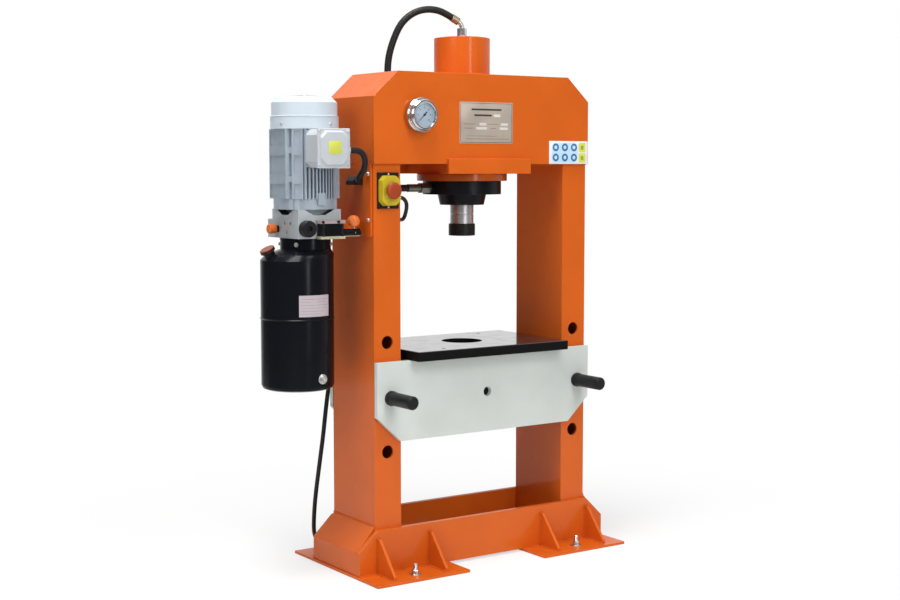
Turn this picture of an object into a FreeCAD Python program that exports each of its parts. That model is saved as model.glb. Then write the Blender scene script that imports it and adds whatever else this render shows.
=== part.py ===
"""Motor-driven H-frame workshop press with a hydraulic power pack on its left column. Millimetres.

X runs along the width of the press, +Y points away from the operator and +Z is up.
The origin is on the floor under the ram, midway between the columns and between the frame's
front and back. Every sub-part is one solid or one set of like solids, written to parts/.
"""
import FreeCAD, Part
import math
import os

V = FreeCAD.Vector
X_AXIS = V(1, 0, 0)
Y_AXIS = V(0, 1, 0)
Z_AXIS = V(0, 0, 1)

# Fits and gaps
RUNNING_FIT = 0.05          # radial, for shafts that turn or slide in a bore
SOFT_GAP = 0.3              # curved faces that only lie next to each other
PIN_GAP = 0.5               # radial, for the locating pins in their plate holes
BEAM_GAP = 2.0              # beam plate to column face

# Columns
COLUMN_CLEAR = 634.0        # clear width between the columns
COLUMN_WIDTH = 96.0
COLUMN_DEPTH = 250.0
COLUMN_WALL = 8.0

# Crown, a closed box of welded plate
CROWN_TOP = 1550.0
CROWN_HEIGHT = 282.0
CROWN_PLATE = 10.0          # front and back plates
CROWN_COVER = 3.0           # side covers
CROWN_DECK = 8.0            # top and bottom plates
CROWN_CHAMFER_X = 86.0
CROWN_CHAMFER_Z = 78.0

# Crosshead seat that carries the cylinder under the crown
SEAT_WIDTH = 318.0
SEAT_SHIFT = 10.0           # the front strip sits this far to the right of the middle
SEAT_STRIP = 12.0           # thickness of the front and back strips
SEAT_DROP = 31.0            # how far it reaches below the crown
SEAT_LAP = 16.0             # how far the strips lap up over the crown plates
SEAT_WEB = 20.0             # cross webs, either side of the barrel
SEAT_WEB_GAP = 16.0         # web to barrel

# Base and feet
BASE_HALF_LENGTH = 480.0
BASE_PLATE = 18.0
BASE_TOP = 144.0
BASE_COVER = 6.0
BASE_CHAMFER_Z = 64.0
BASE_COVER_RISE = 11.0      # how far the end covers run up the columns above the plates
FOOT_LENGTH = 340.0
FOOT_DEPTH = 520.0
FOOT_THICK = 8.0
FOOT_LEDGE = 6.0            # how far the foot plate stands out past the base's end
FOOT_CORNER = 3.0
GUSSET_THICK = 10.0
GUSSET_HEIGHT = 110.0
GUSSET_REACH = 96.0
GUSSET_NOSE = 12.0          # blunt top and toe of a gusset
GUSSET_INSET = 69.0         # outer gusset to the base's end
GUSSET_SPACING = 190.0
ANCHOR_X = 318.0
ANCHOR_Y = 208.0
ANCHOR_HOLE = 16.0

# Table beam, its pins and the press table
BEAM_HALF_LENGTH = 414.0
BEAM_PLATE = 18.0
BEAM_BOTTOM = 415.0
BEAM_HEIGHT = 248.0
BEAM_CHAMFER_X = 84.0
BEAM_CHAMFER_Z = 79.0
BEAM_WEB_X = 205.0
BEAM_WEB = 12.0
BEAM_HOLE = 30.0            # hole in the middle of each beam plate
BEAM_HOLE_Z = 543.0
PIN_DIAMETER = 40.0
PIN_COLLAR = 46.0
PIN_COLLAR_LENGTH = 12.0
PIN_HANDLE = 42.0
PIN_HANDLE_LENGTH = 116.0
PIN_TAIL = 20.0             # how far a pin shows behind the beam
PIN_CHAMFER = 5.0
PIN_HOLE_LOWEST = 382.0
PIN_HOLE_PITCH = 170.0
PIN_HOLE_COUNT = 3
PIN_IN_HOLE = 1             # the hole, counted from the lowest as 0, that the beam is pinned at
TABLE_HALF_LENGTH = 292.0
TABLE_DEPTH = 380.0
TABLE_THICK = 30.0
TABLE_HOLE = 132.0
TABLE_TAPPED = 12.0
TABLE_TAPPED_DEPTH = 18.0
TABLE_TAPPED_X = 170.0
TABLE_TAPPED_Y = 145.0
TABLE_EDGE = 2.0

# Cylinder, gland and ram
BARREL_DIAMETER = 180.0
BARREL_BORE = 120.0
BARREL_TOP = 1670.0
BARREL_DISC = 292.0         # mounting disc round the barrel's foot
BARREL_DISC_THICK = 23.0
HEAD_CAP_DIAMETER = 142.0
HEAD_CAP_THICK = 28.0
HEAD_CAP_PORT = 11.0
GLAND_DIAMETER = 254.0
GLAND_THICK = 43.0
GLAND_HUB_TOP = 158.0
GLAND_HUB_BOTTOM = 143.0
GLAND_HUB_HEIGHT = 34.0
GLAND_SPIGOT = 18.0         # how far the gland reaches up into the bore
RAM_DIAMETER = 76.0
RAM_SHOWING = 61.0          # rod between the hub and the nose, at rest
RAM_GROOVE_DEPTH = 1.5
RAM_GROOVE_WIDTH = 3.0
RAM_ROD_ABOVE = 402.0       # rod from the gland's underside up to the piston
PISTON_THICK = 60.0
NOSE_DIAMETER = 86.0
NOSE_HEIGHT = 39.0
NOSE_EDGE = 2.0

# Pressure connections
ELBOW_BOSS_DIAMETER = 32.0
ELBOW_BOSS_HEIGHT = 9.0
ELBOW_NUT_FLATS = 27.0
ELBOW_NUT_HEIGHT = 23.0
ELBOW_TUBE = 15.0
ELBOW_RADIUS = 24.0
ELBOW_TURN = 61.0           # degrees from the vertical
ELBOW_PLAN_ANGLE = 166.5    # degrees from +X towards +Y, the way the top hose leaves
FERRULE_DIAMETER = 25.0
FERRULE_LENGTH = 26.0
HOSE_DIAMETER = 22.0
HOSE_LEAD = 31.7            # straight lead of the hose out of its ferrule
LOWER_PORT_Z = 1192.0
LOWER_NUT_FLATS = 31.0
LOWER_NUT_LENGTH = 37.0
LOWER_FERRULE_DIAMETER = 25.0
LOWER_FERRULE_LENGTH = 46.0
LOWER_HOSE_DIAMETER = 22.0
GROMMET_THICK = 6.0
GROMMET_WALL = 5.0

# Pressure gauge
GAUGE_X = -255.0
GAUGE_Z = 1417.0
GAUGE_BACK_DIAMETER = 84.0
GAUGE_BACK_THICK = 8.0
GAUGE_CASE_DIAMETER = 108.0
GAUGE_CASE_DEPTH = 24.0     # crown face to the case's front edge
GAUGE_BEZEL_DIAMETER = 96.0
GAUGE_DEPTH = 39.0          # crown face to the bezel's front
GAUGE_WINDOW = 74.0
GAUGE_WELL = 9.0            # bezel front down to the dial
GLASS_THICK = 2.0
GLASS_SETBACK = 2.0
POINTER_THICK = 0.8
POINTER_LENGTH = 29.0
POINTER_TAIL = 13.0
POINTER_HUB = 8.0
POINTER_LIFT = 1.6          # dial to the pointer's back
POINTER_SHAFT = 3.0
POINTER_SHAFT_DEPTH = 4.0
POINTER_REST = 225.0        # degrees in the dial's face, from +X towards +Z

# Emergency stop
STOP_X = -363.0
STOP_Z = 1187.0
STOP_PLATE_WIDTH = 76.0
STOP_PLATE_HEIGHT = 110.0
STOP_PLATE_THICK = 4.0
STOP_BODY_WIDTH = 68.0
STOP_BODY_HEIGHT = 92.0
STOP_BODY_DEPTH = 20.0
STOP_BODY_CORNER = 14.0
STOP_BODY_DRAFT = 4.0
STOP_STEM = 30.0
STOP_STEM_SHOWING = 7.0
STOP_STEM_DEPTH = 12.0      # stem inside the body
STOP_TRAVEL = 5.0
STOP_HEAD = 52.0
STOP_HEAD_THICK = 15.0
STOP_SPINDLE = 12.0         # the head turns on this
STOP_SPINDLE_LENGTH = 8.0
STOP_GLAND = 17.0           # boss on the body's side that the lead leaves from
STOP_GLAND_SHOWING = 2.0    # how far it stands out of the body
STOP_GLAND_FORWARD = 9.0    # its middle, in front of the backing plate
STOP_GLAND_DROP = 21.0      # its middle, below the body's

# Power pack: motor
PACK_X = -579.0
MOTOR_RADIUS = 104.0
MOTOR_CORE_RADIUS = 90.0
MOTOR_BOTTOM = 1164.0
MOTOR_TOP = 1372.0
FIN_THICK = 4.0
FIN_PITCH = 10.6
FIN_COUNT = 10
CORNER_BAR_WIDTH = 33.0
CORNER_BAR_FACE = 101.0     # motor axis to the flat of a corner bar
CORNER_BAR_ANGLE = 48.5     # degrees from the X axis
PAD_WIDTH = 102.0
PAD_FACE = 93.5             # motor axis to the flat mounting pad
PANEL_DEPTH = 3.0           # recesses in the pad and the corner bars
PANEL_MARGIN = 6.0
PAD_HOLE = 9.0
PAD_HOLE_DEPTH = 10.0
PAD_HOLE_Z = (1182.0, 1354.5)
BAND_Z = (1223.0, 1308.0)   # level bands that tie the pad to the bars beside it
BAND_HEIGHT = 18.0
BAND_RADIUS = 98.0
BAND_INSET = 60.0           # motor axis to the bands' ends
BOX_PAD_FACE = 100.0        # motor axis to the terminal box seat
SHIELD_HEIGHT = 32.0
SHIELD_RADIUS = 94.0
SHIELD_BOSS_RADIUS = 13.0
SHIELD_BOSS_PITCH = 86.0
COWL_RADIUS = 103.0
COWL_WALL = 2.5
COWL_LOWER_HEIGHT = 38.0
COWL_RIM = 1.8
COWL_UPPER_HEIGHT = 45.0
COWL_UPPER_RADIUS = 99.5
COWL_DOME_HEIGHT = 20.0
COWL_DOME_RADIUS = 84.0
GRILLE_RING_COUNT = 4
GRILLE_RING_PITCH = 16.0
GRILLE_BAR = 4.0
GRILLE_SPOKES = 6
GRILLE_HUB = 14.0
FAN_RADIUS = 88.0
FAN_HUB_RADIUS = 24.0
FAN_HEIGHT = 40.0
FAN_BLADES = 8
FAN_BLADE_THICK = 3.0
FAN_DISC_THICK = 4.0
FAN_LIFT = 6.0              # motor top to the fan's disc
FAN_SHAFT_RADIUS = 12.0
FAN_SHAFT_DEPTH = 40.0

# Power pack: terminal box
BOX_WIDTH = 110.0
BOX_HEIGHT = 117.0
BOX_DROP = 0.5              # motor's top down to the box's top
BOX_FRONT = 185.0           # motor axis to the lid's face
LID_THICK = 13.0
LID_FLANGE = 5.0            # the lid's flat square rim
LID_INSET = 7.0             # rim's edge to the raised middle
LID_CORNER = 18.0
LID_DRAFT = 4.0
BOX_GLAND_DIAMETER = 28.0
BOX_GLAND_LENGTH = 13.0
BOX_GLAND_Z = 1308.0
BOX_GLAND_Y = -146.0

# Power pack: flange, valve block and its fittings
BLOCK_RIGHT = -502.0
BLOCK_WIDTH = 146.0
BLOCK_DEPTH = 164.0
BLOCK_BACK = 112.0          # the valve block reaches further back than the flange
FLANGE_TOP = 1132.0
FLANGE_BOTTOM = 1101.0
FLANGE_POCKET_TOP = 102.0
FLANGE_POCKET_FOOT = 38.0
FLANGE_POCKET_HEIGHT = 17.0
FLANGE_POCKET_DEPTH = 28.0
BLOCK_BOTTOM = 1045.0
BLOCK_EDGE = 1.5
PLUG_X = -622.0
PLUG_Z = 1075.0
BLOCK_PLUG_DIAMETER = 50.0
BLOCK_PLUG_LENGTH = 24.0
BLOCK_PLUG_HEX = 17.0
BLOCK_PLUG_HEX_DEPTH = 8.0
PORT_DIAMETER = 12.0
PORT_DEPTH = 4.0
PORTS = ((-34.0, 1090.0), (2.0, 1090.0), (-10.0, 1063.0))
KNOB_Y = 46.0
KNOB_Z = 1072.0
KNOB_DIAMETER = 28.0
KNOB_LENGTH = 24.0
KNOB_COLLAR = 21.0
KNOB_COLLAR_LENGTH = 9.0
KNOB_STEM = 8.0
KNOB_STEM_DEPTH = 20.0
KNOB_FLUTES = 10
KNOB_FLUTE_RADIUS = 2.2
VALVE_LEFT = -588.0
VALVE_WIDTH = 84.0
VALVE_DEPTH = 30.0
VALVE_BOTTOM = 1044.0
VALVE_HEIGHT = 56.0
VALVE_TOP_LIP = 10.0
VALVE_FOOT_LIP = 8.0
VALVE_WAIST = 4.0
LEVER_Z = 1061.0
LEVER_X = -464.5
LEVER_HOUSING = 24.0
LEVER_HOUSING_END = 22.0    # pivot to the housing's rounded end
LEVER_SLOT = 9.0
LEVER_SLOT_LENGTH = 30.0
LEVER_PIN = 5.0
LEVER_HUB = 12.0
LEVER_STEM = 7.0
LEVER_BALL = 38.0
LEVER_BALL_RISE = 34.0
LEVER_BALL_STEPS = 10       # cones from pole to pole of the ball grip

# Power pack: bracket on the column
BRACKET_PLATE = 6.0
BRACKET_WIDTH = 236.0
BRACKET_BOTTOM = 1048.0
BRACKET_TOP = 1266.0
BRACKET_ARM_WIDTH = 104.0
BRACKET_ARM_HEIGHT = 47.0
BRACKET_ARM_WALL = 10.0
BRACKET_ARM_Y = 16.0        # middle of the arm, behind the lever

# Power pack: tank
TANK_X = -609.0
TANK_RADIUS = 111.0
TANK_BOTTOM = 587.0
TANK_SHOULDER = 979.0
TANK_WALL_TOP = 1011.0
TANK_SEAM_Z = 803.0
TANK_SEAM = 2.5
TANK_FOOT_RADIUS = 14.0
NECK_RADIUS = 77.0
NECK_COLLAR_RADIUS = 78.0
NECK_COLLAR_HEIGHT = 6.0
FILLER_TILT = 28.0          # degrees from the vertical, to the left
FILLER_X = -97.0            # from the tank's axis to the filler's mouth
FILLER_Y = 0.0
FILLER_Z = 1005.0
FILLER_TUBE = 34.0
FILLER_TUBE_LENGTH = 60.0
FILLER_CAP = 46.0
FILLER_CAP_HEIGHT = 12.0
FILLER_PLUG = 24.0
FILLER_PLUG_LENGTH = 12.0
FILLER_RIBS = 8
FILLER_RIB_RADIUS = 3.0

# Motor lead and emergency-stop lead, each point by hand
LEAD_DIAMETER = 18.0
LEAD_POINTS = (
    (-511.0, -146.0, 1308.0),
    (-489.0, -146.0, 1308.0),
    (-467.0, -146.0, 1303.0),
    (-450.0, -144.0, 1287.0),
    (-443.0, -140.0, 1264.0),
    (-440.0, -131.0, 1242.0),
    (-438.0, -117.0, 1225.0),
    (-437.0, -96.0, 1217.0),
    (-437.0, -74.0, 1217.0),
)
OUTLET_DEEP = 34.0          # the outlet that the motor lead enters, out from the bracket plate
OUTLET_WIDE = 44.0
OUTLET_TALL = 26.0
OUTLET_TOP = 24.0           # depth of its narrower top
STOP_LEAD_DIAMETER = 12.0
STOP_LEAD_POINTS = (
    (-327.0, -138.0, 1166.0),
    (-309.5, -138.0, 1166.0),
    (-301.0, -138.0, 1150.0),
    (-300.0, -136.0, 1132.0),
    (-300.0, -127.0, 1116.0),
    (-296.0, -110.0, 1105.0),
    (-288.0, -92.0, 1099.0),
    (-283.0, -71.0, 1097.0),
    (-293.0, -55.0, 1096.0),
    (-311.0, -55.0, 1096.0),
)

# Top hose, as distance along its own upright plane and height
TOP_HOSE_ROUTE = (
    (94.0, 1758.8),
    (125.9, 1758.5),
    (156.6, 1749.9),
    (184.1, 1733.6),
    (206.5, 1710.9),
    (222.5, 1683.3),
    (241.1, 1637.1),
    (252.3, 1587.7),
)
TOP_HOSE_END = 252.3

# Mains cord, its coil and its plug
CORD_DIAMETER = 14.0
CORD_GLAND_X = -382.0
CORD_GLAND_Z = 812.0
CORD_GLAND_BODY = 30.0
CORD_GLAND_REACH = 28.0
CORD_GLAND_DROP = 46.0
CORD_GLAND_NOSE = 20.0
CORD_POINTS = (
    (-382.0, 153.0, 766.0),
    (-382.0, 153.0, 724.0),
    (-388.0, 156.0, 672.0),
    (-397.0, 158.0, 620.0),
    (-408.0, 159.0, 568.0),
    (-417.0, 160.0, 513.0),
    (-424.0, 161.0, 455.0),
    (-429.0, 165.0, 396.0),
    (-433.0, 174.0, 336.0),
    (-435.0, 186.0, 277.0),
    (-435.0, 201.0, 220.0),
    (-433.0, 216.0, 166.0),
    (-427.0, 233.0, 115.0),
    (-417.0, 253.0, 72.0),
    (-399.0, 277.0, 38.0),
    (-369.0, 301.0, 16.0),
    (-327.0, 321.0, 9.0),
    (-277.0, 335.0, 7.5),
    (-222.0, 345.0, 7.3),
    (-165.0, 349.0, 7.0),
    (-108.0, 350.0, 7.2),
)
COIL_X = -55.0
COIL_Y = 262.0
COIL_RADIUS = 88.0
COIL_TURNS = 4
COIL_STEP = 16.0            # from turn to turn, and from layer to layer
COIL_CLIMB = 0.5            # turns taken to climb a layer
TAIL_LENGTH = 66.0
PLUG_DIAMETER = 46.0
PLUG_LENGTH = 62.0
PLUG_NECK = 22.0
PLUG_NECK_LENGTH = 26.0
PLUG_PIN = 5.0
PLUG_PIN_LENGTH = 24.0
PLUG_PIN_PITCH = 26.0
PLUG_PIN_COUNT = 4

# Heights and faces worked out from the sizes above
COLUMN_IN = COLUMN_CLEAR / 2
COLUMN_OUT = COLUMN_IN + COLUMN_WIDTH
COLUMN_MID = COLUMN_IN + COLUMN_WIDTH / 2
FACE_Y = COLUMN_DEPTH / 2
CROWN_BOTTOM = CROWN_TOP - CROWN_HEIGHT
CROWN_HALF = COLUMN_OUT + CROWN_COVER
CROWN_SHOULDER = CROWN_TOP - CROWN_CHAMFER_Z
CROWN_FACE_Y = FACE_Y + CROWN_PLATE
BARREL_RADIUS = BARREL_DIAMETER / 2
SEAT_BOTTOM = CROWN_BOTTOM - SEAT_DROP
DISC_BOTTOM = SEAT_BOTTOM - BARREL_DISC_THICK
GLAND_BOTTOM = DISC_BOTTOM - GLAND_THICK
HUB_BOTTOM = GLAND_BOTTOM - GLAND_HUB_HEIGHT
NOSE_TOP = HUB_BOTTOM - RAM_SHOWING
BEAM_TOP = BEAM_BOTTOM + BEAM_HEIGHT
BEAM_INNER_Y = FACE_Y + BEAM_GAP
BEAM_OUTER_Y = BEAM_INNER_Y + BEAM_PLATE
PIN_Z = PIN_HOLE_LOWEST + PIN_HOLE_PITCH * PIN_IN_HOLE
PIN_HOLE_RADIUS = PIN_DIAMETER / 2 + PIN_GAP
BASE_FACE_Y = FACE_Y + BASE_PLATE
ELBOW_BASE = BARREL_TOP + ELBOW_BOSS_HEIGHT
ELBOW_START = ELBOW_BASE + ELBOW_NUT_HEIGHT
BOX_BOTTOM = MOTOR_TOP - BOX_DROP - BOX_HEIGHT
BLOCK_LEFT = BLOCK_RIGHT - BLOCK_WIDTH
BLOCK_MID = BLOCK_RIGHT - BLOCK_WIDTH / 2
BLOCK_FRONT = -BLOCK_DEPTH / 2
VALVE_RIGHT = VALVE_LEFT + VALVE_WIDTH
LEVER_Y = BLOCK_FRONT - VALVE_DEPTH / 2 + 3.0
PLATE_X = -COLUMN_OUT - BRACKET_PLATE
DIAL_Y = -CROWN_FACE_Y - GAUGE_DEPTH + GAUGE_WELL
STOP_BODY_Y = -FACE_Y - STOP_PLATE_THICK - STOP_BODY_DEPTH
CORD_RADIUS = CORD_DIAMETER / 2

nodes = {}


def box(x0, x1, y0, y1, z0, z1):
    """Block between two corners."""
    return Part.makeBox(x1 - x0, y1 - y0, z1 - z0, V(x0, y0, z0))


def rod(radius, length, start, axis):
    """Round bar from a point along an axis."""
    return Part.makeCylinder(radius, length, start, axis)


def face(points):
    """Flat face through the given corners."""
    return Part.Face(Part.makePolygon(list(points) + [points[0]]))


def prism(points, path):
    """Flat outline pushed along a vector."""
    return face(points).extrude(path)


def upright(outline, y0, y1):
    """Outline of (x, z) corners pushed from y0 to y1."""
    return prism([V(x, y0, z) for x, z in outline], V(0, y1 - y0, 0))


def turned(profile, centre, axis):
    """Solid of revolution of (radius, height) corners, height measured from centre along axis."""
    side = X_AXIS if abs(axis.x) < 0.9 else Y_AXIS
    side = (side - axis * side.dot(axis)).normalize()
    corners = [centre + side * r + axis * h for r, h in profile]
    return face(corners).revolve(centre, axis, 360)


def hexagon(flats, length, start, axis):
    """Hexagonal bar of a given width across flats."""
    side = X_AXIS if abs(axis.x) < 0.9 else Z_AXIS
    across = axis.cross(side)
    reach = flats / math.sqrt(3)
    turns = [math.radians(30 + 60 * k) for k in range(6)]
    corners = [start + side * (reach * math.cos(a)) + across * (reach * math.sin(a)) for a in turns]
    return prism(corners, axis * length)


def fused(shapes):
    """One solid out of several that touch."""
    shapes = list(shapes)
    return shapes[0].fuse(shapes[1:]).removeSplitter()


def mirrored_x(shape):
    """Copy across the middle plane of the press."""
    return shape.mirror(V(0, 0, 0), X_AXIS)


def mirrored_y(shape):
    """Copy from the front to the back of the press."""
    return shape.mirror(V(0, 0, 0), Y_AXIS)


def chamfered_outline(half, bottom, top, cut_x, cut_bottom, cut_top):
    """Upright rectangle's (x, z) corners with its bottom or top corners cut off."""
    low = [(-half, bottom), (half, bottom)]
    high = [(half, top), (-half, top)]
    if cut_bottom:
        low = [(-half, bottom + cut_bottom), (cut_x - half, bottom)]
        low += [(half - cut_x, bottom), (half, bottom + cut_bottom)]
    if cut_top:
        high = [(half, top - cut_top), (half - cut_x, top)]
        high += [(cut_x - half, top), (-half, top - cut_top)]
    return low + high


def rounded_wire(points, name):
    """Straight runs joined by tangent arcs as large as the runs allow; prints the tightest arc."""
    corners = [V(*p) for p in points]
    edges = []
    start = corners[0]
    radii = []
    for before, corner, after in zip(corners, corners[1:], corners[2:]):
        back = before - corner
        ahead = after - corner
        reach = 0.45 * min(back.Length, ahead.Length)
        back.normalize()
        ahead.normalize()
        half_turn = (math.pi - back.getAngle(ahead)) / 2
        radius = reach / math.tan(half_turn)
        middle = (back + ahead).normalize()
        crest = corner + middle * (radius / math.cos(half_turn) - radius)
        edges.append(Part.LineSegment(start, corner + back * reach).toShape())
        edges.append(Part.Arc(corner + back * reach, crest, corner + ahead * reach).toShape())
        start = corner + ahead * reach
        radii.append(radius)
    edges.append(Part.LineSegment(start, corners[-1]).toShape())
    print(name, "tightest arc", round(min(radii), 1), "mm")
    return Part.Wire(edges)


def swept(wire, radius, direction):
    """Round tube along a wire whose first point leaves along direction."""
    start = wire.Edges[0].valueAt(wire.Edges[0].FirstParameter)
    ring = Part.Wire(Part.Circle(start, direction, radius).toShape())
    return wire.makePipeShell([ring], True, False)


def tube(points, diameter, name):
    """Free stretch of a cord or hose, with its volume checked against section times length."""
    wire = rounded_wire(points, name)
    solid = swept(wire, diameter / 2, V(*points[1]) - V(*points[0]))
    expected = math.pi * diameter ** 2 / 4 * wire.Length
    print(name, "length", round(wire.Length, 1), "mm, volume ratio", round(solid.Volume / expected, 4))
    return solid


def make_columns():
    """Closed box columns with a row of pin holes through their front and back walls."""
    top = CROWN_SHOULDER - CROWN_COVER
    shell = box(COLUMN_IN, COLUMN_OUT, -FACE_Y, FACE_Y, FOOT_THICK, top)
    hollow = box(
        COLUMN_IN + COLUMN_WALL, COLUMN_OUT - COLUMN_WALL,
        COLUMN_WALL - FACE_Y, FACE_Y - COLUMN_WALL,
        FOOT_THICK, top,
    )
    right = shell.cut(hollow)
    for k in range(PIN_HOLE_COUNT):
        start = V(COLUMN_MID, -FACE_Y, PIN_HOLE_LOWEST + PIN_HOLE_PITCH * k)
        right = right.cut(rod(PIN_HOLE_RADIUS, COLUMN_DEPTH, start, Y_AXIS))
    nodes["column_right"] = right
    nodes["column_left"] = mirrored_x(right)


def make_crown():
    """Crown box: front and back plates, top and bottom decks and a bent cover at each side."""
    outline = chamfered_outline(
        CROWN_HALF, CROWN_BOTTOM, CROWN_TOP, CROWN_CHAMFER_X, 0, CROWN_CHAMFER_Z
    )
    nodes["crown_front_plate"] = upright(outline, -CROWN_FACE_Y, -FACE_Y)
    nodes["crown_back_plate"] = upright(outline, FACE_Y, CROWN_FACE_Y)
    passage = rod(BARREL_RADIUS + SOFT_GAP, CROWN_HEIGHT, V(0, 0, CROWN_BOTTOM), Z_AXIS)
    deck_half = CROWN_HALF - CROWN_CHAMFER_X
    top = box(-deck_half, deck_half, -FACE_Y, FACE_Y, CROWN_TOP - CROWN_DECK, CROWN_TOP)
    bottom = box(
        -COLUMN_IN, COLUMN_IN, -FACE_Y, FACE_Y, CROWN_BOTTOM, CROWN_BOTTOM + CROWN_DECK
    )
    nodes["crown_top_plate"] = top.cut(passage)
    nodes["crown_bottom_plate"] = bottom.cut(passage)
    slope = CROWN_CHAMFER_Z / CROWN_CHAMFER_X
    drop = CROWN_COVER * math.hypot(1, slope)
    cover = [
        (COLUMN_OUT, CROWN_BOTTOM),
        (CROWN_HALF, CROWN_BOTTOM),
        (CROWN_HALF, CROWN_SHOULDER),
        (deck_half, CROWN_TOP),
        (deck_half, CROWN_TOP - drop),
        (COLUMN_OUT, CROWN_SHOULDER + CROWN_COVER * slope - drop),
    ]
    right = upright(cover, -FACE_Y, FACE_Y)
    nodes["crown_cover_right"] = right
    nodes["crown_cover_left"] = mirrored_x(right)


def make_crosshead():
    """Seat under the crown: strips lapped on both crown plates, tied by two cross webs."""
    half = SEAT_WIDTH / 2
    lap_top = CROWN_BOTTOM + SEAT_LAP
    front = box(
        SEAT_SHIFT - half, SEAT_SHIFT + half, -CROWN_FACE_Y - SEAT_STRIP, -CROWN_FACE_Y,
        SEAT_BOTTOM, lap_top,
    )
    back = box(
        -COLUMN_IN, COLUMN_IN, CROWN_FACE_Y, CROWN_FACE_Y + SEAT_STRIP, SEAT_BOTTOM, lap_top
    )
    web_in = BARREL_RADIUS + SEAT_WEB_GAP
    web = box(web_in, web_in + SEAT_WEB, -CROWN_FACE_Y, CROWN_FACE_Y, SEAT_BOTTOM, CROWN_BOTTOM)
    nodes["crosshead_seat"] = fused([front, back, web, mirrored_x(web)])


def make_base():
    """Base: two long plates either side of the columns, with a bent cover at each end."""
    chamfer_x = BASE_HALF_LENGTH - COLUMN_OUT
    outline = chamfered_outline(
        BASE_HALF_LENGTH, FOOT_THICK, BASE_TOP, chamfer_x, 0, BASE_CHAMFER_Z
    )
    nodes["base_front_plate"] = upright(outline, -BASE_FACE_Y, -FACE_Y)
    nodes["base_back_plate"] = upright(outline, FACE_Y, BASE_FACE_Y)
    crest = BASE_TOP + BASE_COVER_RISE
    slope = (BASE_CHAMFER_Z + BASE_COVER_RISE) / chamfer_x
    drop = BASE_COVER * math.hypot(1, slope)
    inner = BASE_HALF_LENGTH - BASE_COVER
    cover = [
        (COLUMN_OUT, crest - drop),
        (COLUMN_OUT, crest),
        (BASE_HALF_LENGTH, BASE_TOP - BASE_CHAMFER_Z),
        (BASE_HALF_LENGTH, FOOT_THICK),
        (inner, FOOT_THICK),
        (inner, BASE_TOP - BASE_CHAMFER_Z + BASE_COVER * slope - drop),
    ]
    right = upright(cover, -FACE_Y, FACE_Y)
    nodes["base_cover_right"] = right
    nodes["base_cover_left"] = mirrored_x(right)


def make_feet():
    """Foot plates, each a weldment with four triangular gussets and two anchor holes."""
    outer = BASE_HALF_LENGTH + FOOT_LEDGE
    plate = box(outer - FOOT_LENGTH, outer, -FOOT_DEPTH / 2, FOOT_DEPTH / 2, 0, FOOT_THICK)
    upright_edges = [e for e in plate.Edges if abs(e.BoundBox.ZLength - FOOT_THICK) < 0.01]
    plate = plate.makeChamfer(FOOT_CORNER, upright_edges)
    toe = FOOT_THICK + GUSSET_NOSE
    crest = FOOT_THICK + GUSSET_HEIGHT
    profile = [
        (-BASE_FACE_Y, FOOT_THICK),
        (-BASE_FACE_Y, crest),
        (-BASE_FACE_Y - GUSSET_NOSE, crest),
        (-BASE_FACE_Y - GUSSET_REACH, toe),
        (-BASE_FACE_Y - GUSSET_REACH, FOOT_THICK),
    ]
    parts = [plate]
    for k in range(2):
        x = BASE_HALF_LENGTH - GUSSET_INSET - GUSSET_SPACING * k - GUSSET_THICK / 2
        gusset = prism([V(x, y, z) for y, z in profile], V(GUSSET_THICK, 0, 0))
        parts += [gusset, mirrored_y(gusset)]
    right = fused(parts)
    for y in (-ANCHOR_Y, ANCHOR_Y):
        right = right.cut(rod(ANCHOR_HOLE / 2, FOOT_THICK, V(ANCHOR_X, y, 0), Z_AXIS))
    nodes["foot_right"] = right
    nodes["foot_left"] = mirrored_x(right)


def make_beam():
    """Table beam: two plates astride the columns with cross webs between them."""
    outline = chamfered_outline(
        BEAM_HALF_LENGTH, BEAM_BOTTOM, BEAM_TOP, BEAM_CHAMFER_X, BEAM_CHAMFER_Z, 0
    )
    plate = upright(outline, -BEAM_OUTER_Y, -BEAM_INNER_Y)
    for x in (-COLUMN_MID, COLUMN_MID):
        plate = plate.cut(rod(PIN_HOLE_RADIUS, BEAM_PLATE, V(x, -BEAM_OUTER_Y, PIN_Z), Y_AXIS))
    hole = rod(BEAM_HOLE / 2, BEAM_PLATE, V(0, -BEAM_OUTER_Y, BEAM_HOLE_Z), Y_AXIS)
    plate = plate.cut(hole)
    nodes["beam_front_plate"] = plate
    nodes["beam_back_plate"] = mirrored_y(plate)
    web = box(
        BEAM_WEB_X, BEAM_WEB_X + BEAM_WEB, -BEAM_INNER_Y, BEAM_INNER_Y, BEAM_BOTTOM, BEAM_TOP
    )
    nodes["beam_webs"] = Part.makeCompound([web, mirrored_x(web)])


def make_table():
    """Press table: thick plate with a centre hole and two tapped holes."""
    plate = box(
        -TABLE_HALF_LENGTH, TABLE_HALF_LENGTH, -TABLE_DEPTH / 2, TABLE_DEPTH / 2,
        BEAM_TOP, BEAM_TOP + TABLE_THICK,
    )
    plate = plate.makeChamfer(TABLE_EDGE, [e for e in plate.Edges if e.BoundBox.ZMin > BEAM_TOP + 1])
    plate = plate.cut(rod(TABLE_HOLE / 2, TABLE_THICK, V(0, 0, BEAM_TOP), Z_AXIS))
    floor = BEAM_TOP + TABLE_THICK - TABLE_TAPPED_DEPTH
    for side in (-1, 1):
        start = V(side * TABLE_TAPPED_X, side * TABLE_TAPPED_Y, floor)
        plate = plate.cut(rod(TABLE_TAPPED / 2, TABLE_TAPPED_DEPTH, start, Z_AXIS))
    nodes["press_table"] = plate


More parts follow.
